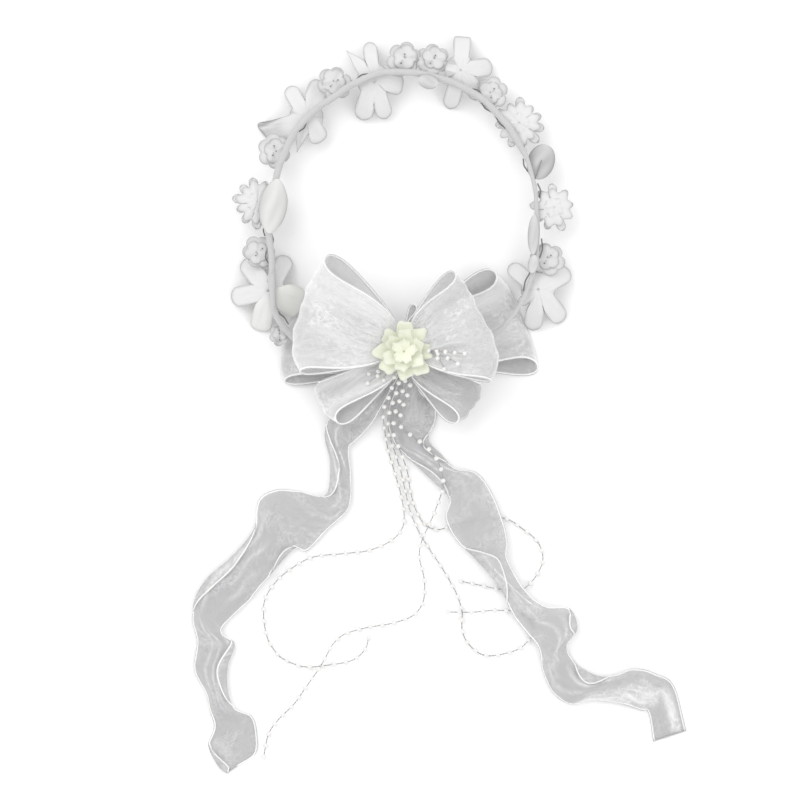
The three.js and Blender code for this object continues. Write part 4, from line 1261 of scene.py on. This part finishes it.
def loop_surface(row, u, v, rng):
    """The loop with its gathers: pleats that fan out of the knot and fade, and a slow crumple outwards."""
    grid = loop_point(row, u, v)
    away = (1 - np.cos(2 * np.pi * u)) / 2
    pleats = np.sin(2 * np.pi * row["pleats"] * v + 2.5 * ripple(rng, u, v, 1.0, 1.0, 3))
    depth = 0.25 + 1.9 * away**0.6 * np.exp(-2.4 * away)
    relief = depth * pleats + 2.0 * away * ripple(rng, u, v, 3.0, 1.5, 6)
    keep = np.clip(row["rise"] * 1.6, 0.4, 1.0)
    inset = 1 - 0.6 * np.abs(2 * v - 1) ** 6
    return grid + surface_normals(grid) * (relief * keep * inset)[..., None]


def build_bow(context):
    sizes = context.scene.wreath_sizes
    wall, hem_radius = sizes.organza_wall / MM, sizes.hem_radius / MM
    for index, row in enumerate(LOOP_ROWS.values()):
        rng = np.random.default_rng(20 + index)
        u = np.linspace(0, 1, LOOP_STEPS)[:, None]
        v = np.linspace(0, 1, LOOP_ACROSS)[None]
        u, v = np.broadcast_arrays(u, v)
        grid = loop_surface(row, u, v, rng)
        away = (1 - np.cos(2 * np.pi * u)) / 2
        # Painted light: painted highlight in clouds on the upper strip, near the knot and along the far bend, and the
        # lower strip kept grey as painted shade.
        upper = smoothstep(0.5 + np.sin(2 * np.pi * u))
        cloud = smoothstep(0.5 + 1.2 * ripple(rng, u, v, 2.2, 2.6, 7))
        white = row["white"] * lerp(0.05, lerp(0.62, 1.12, cloud), upper) + 0.4 * np.exp(-4.0 * away)
        dense = row["dense"] + 0.2 * (1 - upper)
        bend = np.exp(-(((u - 0.5) / 0.035) ** 2))
        white, dense = white + 0.45 * bend, dense + 0.3 * bend
        gather = 0.1 + 0.9 * np.exp(-2.2 * away)
        wide = row["width"] * RIBBON_WIDTH / 10
        uv = np.stack([u * 2 * row["reach"] * LOOP_REACH / 10 + index * 3, v * wide], axis=-1)
        shape = Shape()
        shape.shell(grid, wall, uv, white=np.clip(white, 0, 1), dense=dense, gather=gather)
        cloth = dress(shape.piece(row["name"] + "_cloth", [organza()]), "organza", row["name"])
        hems = Shape()
        for edge in (0, -1):
            hems.tube(hem_path(grid, edge)[1:-1], hem_radius, 6)
        hem = dress(hems.piece(row["name"] + "_hem", [hem_thread(context)]), "organza")


def build_knot(context):
    """The gathered middle of the bow, a ball of pleats round the ring's tube."""
    shape = Shape()
    bore = RING_TUBE / 2 + CLEARANCE
    start = math.asin(bore / KNOT_RADIUS)
    turn = np.linspace(math.pi - start, start, KNOT_STEPS)[:, None]
    around = (np.arange(KNOT_SIDES) * 2 * np.pi / KNOT_SIDES)[None]
    pleat = 1 + 0.06 * np.sin(around * 14 + 2 * np.cos(turn)) * np.sin(turn)
    reach = KNOT_RADIUS * np.sin(turn) * pleat
    outer = np.stack(np.broadcast_arrays(
        -KNOT_RADIUS * np.cos(turn), reach * np.cos(around), reach * np.sin(around)
    ), axis=-1)
    inner = np.stack(np.broadcast_arrays(
        -KNOT_RADIUS * np.cos(turn), bore * 0.98 * np.cos(around), bore * 0.98 * np.sin(around)
    ), axis=-1)
    both = np.concatenate([outer, inner[::-1]]) + KNOT
    rows, columns = 2 * KNOT_STEPS, KNOT_SIDES
    uv = np.stack(np.meshgrid(np.linspace(0, 4, rows), np.linspace(0, 4, columns), indexing="ij"), axis=-1)
    # Painted highlight all over the knot's gathers.
    shape.add(both, grid_faces(rows, columns, True, True), uv, white=0.8, dense=0.8, gather=1.0)
    dress(shape.piece("bow_knot_gathers", [organza()]), "organza", "bow_knot")


def build_centre_flower(context):
    wall = context.scene.wreath_sizes.petal_wall / MM
    for name, petals, size, rise, turn, level in CENTRE_LAYERS:
        rng = np.random.default_rng(70 + level)
        radius = CENTRE_FLOWER_RADIUS * size
        foot = KNOT[2] + KNOT_RADIUS + CLEARANCE + PETAL_SEAT / 2 + level * (PETAL_SEAT + CLEARANCE)
        step = 360 / petals
        start = rng.uniform(0, 360)

        def rim(at):
            petal_at = np.abs(((at - turn) / step + 0.5) % 1.0 - 0.5) * 2
            ragged = 0.05 * np.cos(np.radians(at * 13 + start)) + 0.06 * np.cos(np.radians(at * 3 + start))
            return 0.74 + 0.26 * (1 - petal_at**2.2) + ragged

        def height(reach, at):
            petal_at = ((at - turn) / step + 0.5) % 1.0 - 0.5
            cup = -0.9 * (2 * petal_at) ** 2 * reach
            ruffle = 0.55 * reach**2 * np.cos(np.radians(at * petals * 1.5 + start))
            return rise * CENTRE_FLOWER_RISE * reach**1.5 * 0.9 + cup + ruffle

        grid, uv, rim_shade = disc_grid(radius, height, 14, petals * 22, 0.5, rim)
        centre = KNOT * (1, 1, 0)
        shape = Shape()
        # Painted shade towards the rim.
        shape.shell(grid + centre + UP * foot, wall, uv, wrap_u=True, shade=0.2 * rim_shade)
        dress(shape.piece(name + "_petals", [cream_cloth(context)]), "cream_cloth", name)


def crease_light(u, across, creases):
    """How much painted highlight the creases give the cloth, at places along and across it from 0 to 1."""
    bright = np.zeros_like(across)
    for start, end, at_start, at_end, half, white in creases:
        along = (u - start) / (end - start)
        middle = lerp(at_start, at_end, along) + 0.08 * np.sin(7 * along + 20 * start)
        inside = smoothstep(along * 5) * smoothstep((1 - along) * 5)
        bright = np.maximum(bright, white * inside * np.exp(-(((across - middle) / half) ** 2)))
    return bright


def tail_surface(rows, drop, rng, folds, creases):
    """A tail's cloth: its plan follows the rows, and each fold lays a strip of its edge back over it."""
    table = np.array(rows, float)
    count = (len(rows) - 1) * TAIL_STEPS + 1
    middle = smooth_path(np.column_stack([
        KNOT[0] + table[:, 0] * drop, KNOT[1] + table[:, 1] * drop, table[:, 4] * RIBBON_WIDTH + 0.5,
    ]), count)
    half = polar(table[:, 3], table[:, 2] * RIBBON_WIDTH / 2, table[:, 5] * RIBBON_WIDTH)
    spread = smooth_path(half, count)
    crown = np.maximum(spread[:, 2:], 0)
    spread = spread * (1, 1, 0)
    plan = 2 * np.linalg.norm(spread, axis=1, keepdims=True)
    side = spread / np.maximum(plan / 2, 1e-6)
    u = np.linspace(0, 1, count)[:, None]
    turned = [np.zeros_like(u), np.zeros_like(u)]
    for start, end, edge, depth in folds:
        span = 0.5 * (end - start)
        turned[edge] = turned[edge] + depth * smoothstep((u - start) / span) * smoothstep((end - u) / span)
    left, right = turned[0] * plan, turned[1] * plan
    v = np.linspace(0, 1, TAIL_ACROSS)[None]
    width = plan + left + right
    run = v * width

    def folded(gap, depth):
        rounded = np.sqrt(gap**2 + FOLD_BEND**2) - FOLD_BEND * np.exp(-((gap / (3 * FOLD_BEND)) ** 2))
        return lerp(gap, rounded, smoothstep(depth / 2))

    from_left, from_right = run - left, left + plan - run
    on_left = run < left + plan / 2
    aside = np.where(on_left, -plan / 2 + folded(from_left, left), plan / 2 - folded(from_right, right))
    flap_left = smoothstep(0.5 - from_left / (3 * FOLD_BEND)) * np.clip(left / 3, 0, 1)
    flap_right = smoothstep(0.5 - from_right / (3 * FOLD_BEND)) * np.clip(right / 3, 0, 1)
    over = 1.2 * flap_left + 1.6 * flap_right
    share = np.clip(2 * aside / plan, -1, 1)
    length = length_along(middle)[:, None]
    rim = np.abs(2 * v - 1) ** 5
    wave = 0.5 * np.sin(2 * np.pi * length / 13 + 2 * np.pi * v) * rim
    pleat = 0.7 * ripple(rng, u * 2, share, 1.6, 1.5, 6) * np.clip(plan / 12, 0, 1)
    height = middle[:, 2:] + crown * (1 - share**2) + over + wave + pleat
    height = np.maximum(height, CLOTH_LIFT)
    grid = middle[:, None] * (1, 1, 0) + side[:, None] * aside[..., None] + UP * height[..., None]
    uv = np.stack(np.broadcast_arrays(length / 10, run / 10), axis=-1)
    bright = crease_light(u, (share + 1) / 2, creases)
    bunched = smoothstep(1.3 - plan / 18) * np.ones_like(run)
    return grid, uv, np.clip(flap_left + flap_right, 0, 1), bunched, bright, np.mean(width)


def build_tails(context):
    sizes = context.scene.wreath_sizes
    wall, hem_radius = sizes.organza_wall / MM, sizes.hem_radius / MM
    for name, rows, drop, seed in (
        ("tail_left", TAIL_LEFT, TAIL_LEFT_DROP, 41), ("tail_right", TAIL_RIGHT, TAIL_RIGHT_DROP, 42),
    ):
        rng = np.random.default_rng(seed)
        grid, uv, flap, bunched, bright, flat_width = tail_surface(
            rows, drop, rng, TAIL_FOLDS[name], TAIL_CREASES[name],
        )
        shape = Shape()
        # Painted highlight on the folded-over flaps, in the bunched narrow stretches and along the creases.
        white = 0.02 + 0.25 * flap + 0.05 * bunched + 0.42 * bright
        gather = np.clip(0.1 + 0.4 * bunched + 1.7 * bright, 0, 1)
        shape.shell(grid, wall, uv + (seed, 0), white=white, dense=0.4 + 0.2 * bright, gather=gather)
        cloth = dress(shape.piece(name + "_cloth", [organza()]), "organza", name)
        hems = Shape()
        for edge in (0, -1):
            hems.tube(hem_path(grid, edge), hem_radius * 0.9, 6)
        hems.tube(grid[-1], hem_radius * 0.7, 6, slot=1)
        hem = dress(hems.piece(name + "_hem", [hem_thread(context), strand_thread(context)]), "organza")


def hem_path(grid, edge):
    """The line that a rolled hem takes, a little way in from an edge of the cloth."""
    inward = grid[:, 4 if edge == 0 else -5] - grid[:, edge]
    length = np.linalg.norm(inward, axis=1, keepdims=True)
    return grid[:, edge] + inward * HEM_INSET / np.maximum(length, HEM_INSET)


def line_piece(name, path):
    """A plain line of edges, for a tree to follow."""
    mesh = bpy.data.meshes.new(name)
    points = in_row(path).tolist()
    mesh.from_pydata(points, [(k, k + 1) for k in range(len(points) - 1)], [])
    return place(name + "_line", mesh)


def build_strands(context):
    sizes = context.scene.wreath_sizes
    tree = beads_tree(pearl(context), strand_thread(context))
    for index, (name, route) in enumerate(STRAND_ROUTES.items()):
        points = np.array(route, float) + (KNOT[0], KNOT[1], 0)
        path = even_path(smooth_path(points, len(route) * 16), LINE_STEP)[index * 2:]
        mesh = solve(line_piece(name, path), tree, {
            "Bead radius": sizes.pearl_radius, "Bead step": sizes.pearl_step, "Ply radius": sizes.ply_radius,
            "Seed": index,
        })
        dress(place(name + "_pearls", mesh), "pearl", name)


def build_sprays(context):
    sizes = context.scene.wreath_sizes
    tree = bpy.data.node_groups.get("Beads on a thread")
    for name, loop, start, ends in SPRAYS:
        row = LOOP_ROWS[loop]
        meshes = []
        for k, end in enumerate(ends):
            share = np.linspace(0, 1, 30)
            u, v = lerp(start[0], end[0], share), lerp(start[1], end[1], share)
            path = loop_point(row, u, v) + UP * (SPRAY_LIFT + 1.2 * np.sin(np.pi * share))[:, None]
            meshes.append(solve(line_piece(f"{name}_{k}", even_path(path, LINE_STEP)), tree, {
                "Bead radius": sizes.pearl_radius * 0.9, "Bead step": SPRAY_STEP * MM, "Ply radius": sizes.ply_radius,
                "Seed": 40 + k,
            }))
        dress(joined(name, *meshes), "pearl")


def build_stage(context):
    """A pale floor, a high camera and soft light."""
    colours = context.scene.wreath_colours
    mesh = bpy.data.meshes.new("studio_floor")
    signs = ((-1, -1), (1, -1), (1, 1), (-1, 1))
    corners = [(x * FLOOR_HALF, y * FLOOR_HALF, -FLOOR_DROP) for x, y in signs]
    mesh.from_pydata(corners, [], [(0, 1, 2, 3)])
    mesh.materials.append(floor_material((*colours.floor, 1)))
    place("studio_floor", mesh)

    camera_data = bpy.data.cameras.new("Camera")
    camera_data.sensor_width = SENSOR_WIDTH
    camera_data.lens = SENSOR_WIDTH * CAMERA_HEIGHT / PHOTO_SPAN
    camera = bpy.data.objects.new("Camera", camera_data)
    camera.location = (*PHOTO_MIDDLE, CAMERA_HEIGHT)
    context.scene.collection.objects.link(camera)
    context.scene.camera = camera

    for name, place_at, size, power in LIGHTS:
        light = bpy.data.lights.new(name, "AREA")
        light.size = size
        light.energy = power
        lamp = bpy.data.objects.new(name, light)
        lamp.location = place_at
        lamp.rotation_euler = (Vector((0, 0, 0)) - Vector(place_at)).to_track_quat("-Z", "Y").to_euler()
        context.scene.collection.objects.link(lamp)

    world = bpy.data.worlds.new("Studio")
    world.use_nodes = True
    world.node_tree.nodes["Background"].inputs["Color"].default_value = (1, 1, 1, 1)
    world.node_tree.nodes["Background"].inputs["Strength"].default_value = 1.0
    context.scene.world = world
    context.scene.view_settings.view_transform = "Standard"
    context.scene.cycles.transparent_max_bounces = 32


# The add-on

class WreathSizes(bpy.types.PropertyGroup):
    tape_wall: bpy.props.FloatProperty(
        name="Tape wall", description="Height of each lap of the ring's tape", default=0.0004, unit="LENGTH")
    tape_pitch: bpy.props.FloatProperty(
        name="Tape pitch", description="Step of the tape along the ring for each turn", default=0.022, unit="LENGTH")
    petal_wall: bpy.props.FloatProperty(
        name="Petal wall", description="Thickness of a petal's cloth", default=0.0006, unit="LENGTH")
    organza_wall: bpy.props.FloatProperty(
        name="Organza wall", description="Thickness of the ribbon", default=0.0002, unit="LENGTH")
    hem_radius: bpy.props.FloatProperty(
        name="Hem radius", description="Radius of the ribbon's rolled hem", default=0.00055, unit="LENGTH")
    pearl_radius: bpy.props.FloatProperty(
        name="Pearl radius", description="Radius of a pearl on the strands", default=0.0015, unit="LENGTH")
    pearl_step: bpy.props.FloatProperty(
        name="Pearl step", description="Distance from one pearl to the next", default=0.0073, unit="LENGTH")
    ply_radius: bpy.props.FloatProperty(
        name="Ply radius", description="Radius of each of the thread's two plies", default=0.00022, unit="LENGTH")


def colour_property(name, description, default):
    return bpy.props.FloatVectorProperty(
        name=name, description=description, default=default, size=3, min=0, max=1, subtype="COLOR")


class WreathColours(bpy.types.PropertyGroup):
    petals: colour_property("Petals", "Colour of the white flowers", (0.71, 0.705, 0.71))
    cream: colour_property("Cream", "Colour of the flower on the bow", (0.87, 0.885, 0.76))
    tape: colour_property("Tape", "Colour of the ring's tape", (0.56, 0.56, 0.56))
    hem: colour_property("Hem", "Colour of the ribbon's hem", (0.9, 0.9, 0.9))
    pearl: colour_property("Pearls", "Colour of the pearls", (0.79, 0.785, 0.78))
    thread: colour_property("Thread", "Colour of the pearls' thread and the wires", (0.48, 0.48, 0.48))
    floor: colour_property("Floor", "Colour of the studio floor", (0.93, 0.93, 0.93))


class WREATH_OT_stage(bpy.types.Operator):
    """Makes the floor, the lights and the camera"""
    bl_idname = "wreath.stage"
    bl_label = "Stage"

    def execute(self, context):
        build_stage(context)
        return {"FINISHED"}


class WREATH_OT_ring(bpy.types.Operator):
    """Wraps the ring's wire in tape"""
    bl_idname = "wreath.ring"
    bl_label = "Taped ring"

    def execute(self, context):
        build_ring(context)
        return {"FINISHED"}


class WREATH_OT_flowers(bpy.types.Operator):
    """Makes the five-petal flowers"""
    bl_idname = "wreath.flowers"
    bl_label = "Flowers"

    def execute(self, context):
        build_flowers(context)
        return {"FINISHED"}


class WREATH_OT_daisies(bpy.types.Operator):
    """Makes the many-petal flowers"""
    bl_idname = "wreath.daisies"
    bl_label = "Daisies"

    def execute(self, context):
        build_daisies(context)
        return {"FINISHED"}


class WREATH_OT_blossoms(bpy.types.Operator):
    """Makes the ruffled blossoms and their stamens"""
    bl_idname = "wreath.blossoms"
    bl_label = "Blossoms"

    def execute(self, context):
        build_blossoms(context)
        return {"FINISHED"}


class WREATH_OT_leaves(bpy.types.Operator):
    """Makes the leaves and buds"""
    bl_idname = "wreath.leaves"
    bl_label = "Leaves"

    def execute(self, context):
        build_leaves(context)
        return {"FINISHED"}


class WREATH_OT_bow(bpy.types.Operator):
    """Gathers the bow's knot and loops"""
    bl_idname = "wreath.bow"
    bl_label = "Bow"

    def execute(self, context):
        build_knot(context)
        build_bow(context)
        return {"FINISHED"}


class WREATH_OT_centre_flower(bpy.types.Operator):
    """Makes the cream flower on the bow"""
    bl_idname = "wreath.centre_flower"
    bl_label = "Centre flower"

    def execute(self, context):
        build_centre_flower(context)
        return {"FINISHED"}


class WREATH_OT_tails(bpy.types.Operator):
    """Lays out the two organza tails"""
    bl_idname = "wreath.tails"
    bl_label = "Tails"

    def execute(self, context):
        build_tails(context)
        return {"FINISHED"}


class WREATH_OT_strands(bpy.types.Operator):
    """Strings the pearls"""
    bl_idname = "wreath.strands"
    bl_label = "Pearl strands"

    def execute(self, context):
        build_strands(context)
        build_sprays(context)
        return {"FINISHED"}


OPERATORS = [
    WREATH_OT_stage,
    WREATH_OT_ring,
    WREATH_OT_flowers,
    WREATH_OT_daisies,
    WREATH_OT_blossoms,
    WREATH_OT_leaves,
    WREATH_OT_bow,
    WREATH_OT_centre_flower,
    WREATH_OT_tails,
    WREATH_OT_strands,
]


class WREATH_PT_panel(bpy.types.Panel):
    """Lists the wreath's sizes, colours and pieces"""
    bl_label = "Flower hair wreath"
    bl_idname = "WREATH_PT_panel"
    bl_space_type = "VIEW_3D"
    bl_region_type = "UI"
    bl_category = "Wreath"

    def draw(self, context):
        for group in (context.scene.wreath_sizes, context.scene.wreath_colours):
            for name in group.__annotations__:
                self.layout.prop(group, name)
        for made in OPERATORS:
            self.layout.operator(made.bl_idname)


CLASSES = [WreathSizes, WreathColours, *OPERATORS, WREATH_PT_panel]


def register():
    for made in CLASSES:
        bpy.utils.register_class(made)
    bpy.types.Scene.wreath_sizes = bpy.props.PointerProperty(type=WreathSizes)
    bpy.types.Scene.wreath_colours = bpy.props.PointerProperty(type=WreathColours)


def unregister():
    del bpy.types.Scene.wreath_colours
    del bpy.types.Scene.wreath_sizes
    for made in reversed(CLASSES):
        bpy.utils.unregister_class(made)


def main():
    register()
    for made in OPERATORS:
        group, name = made.bl_idname.split(".")
        getattr(getattr(bpy.ops, group), name)()


if __name__ == "__main__":
    main()
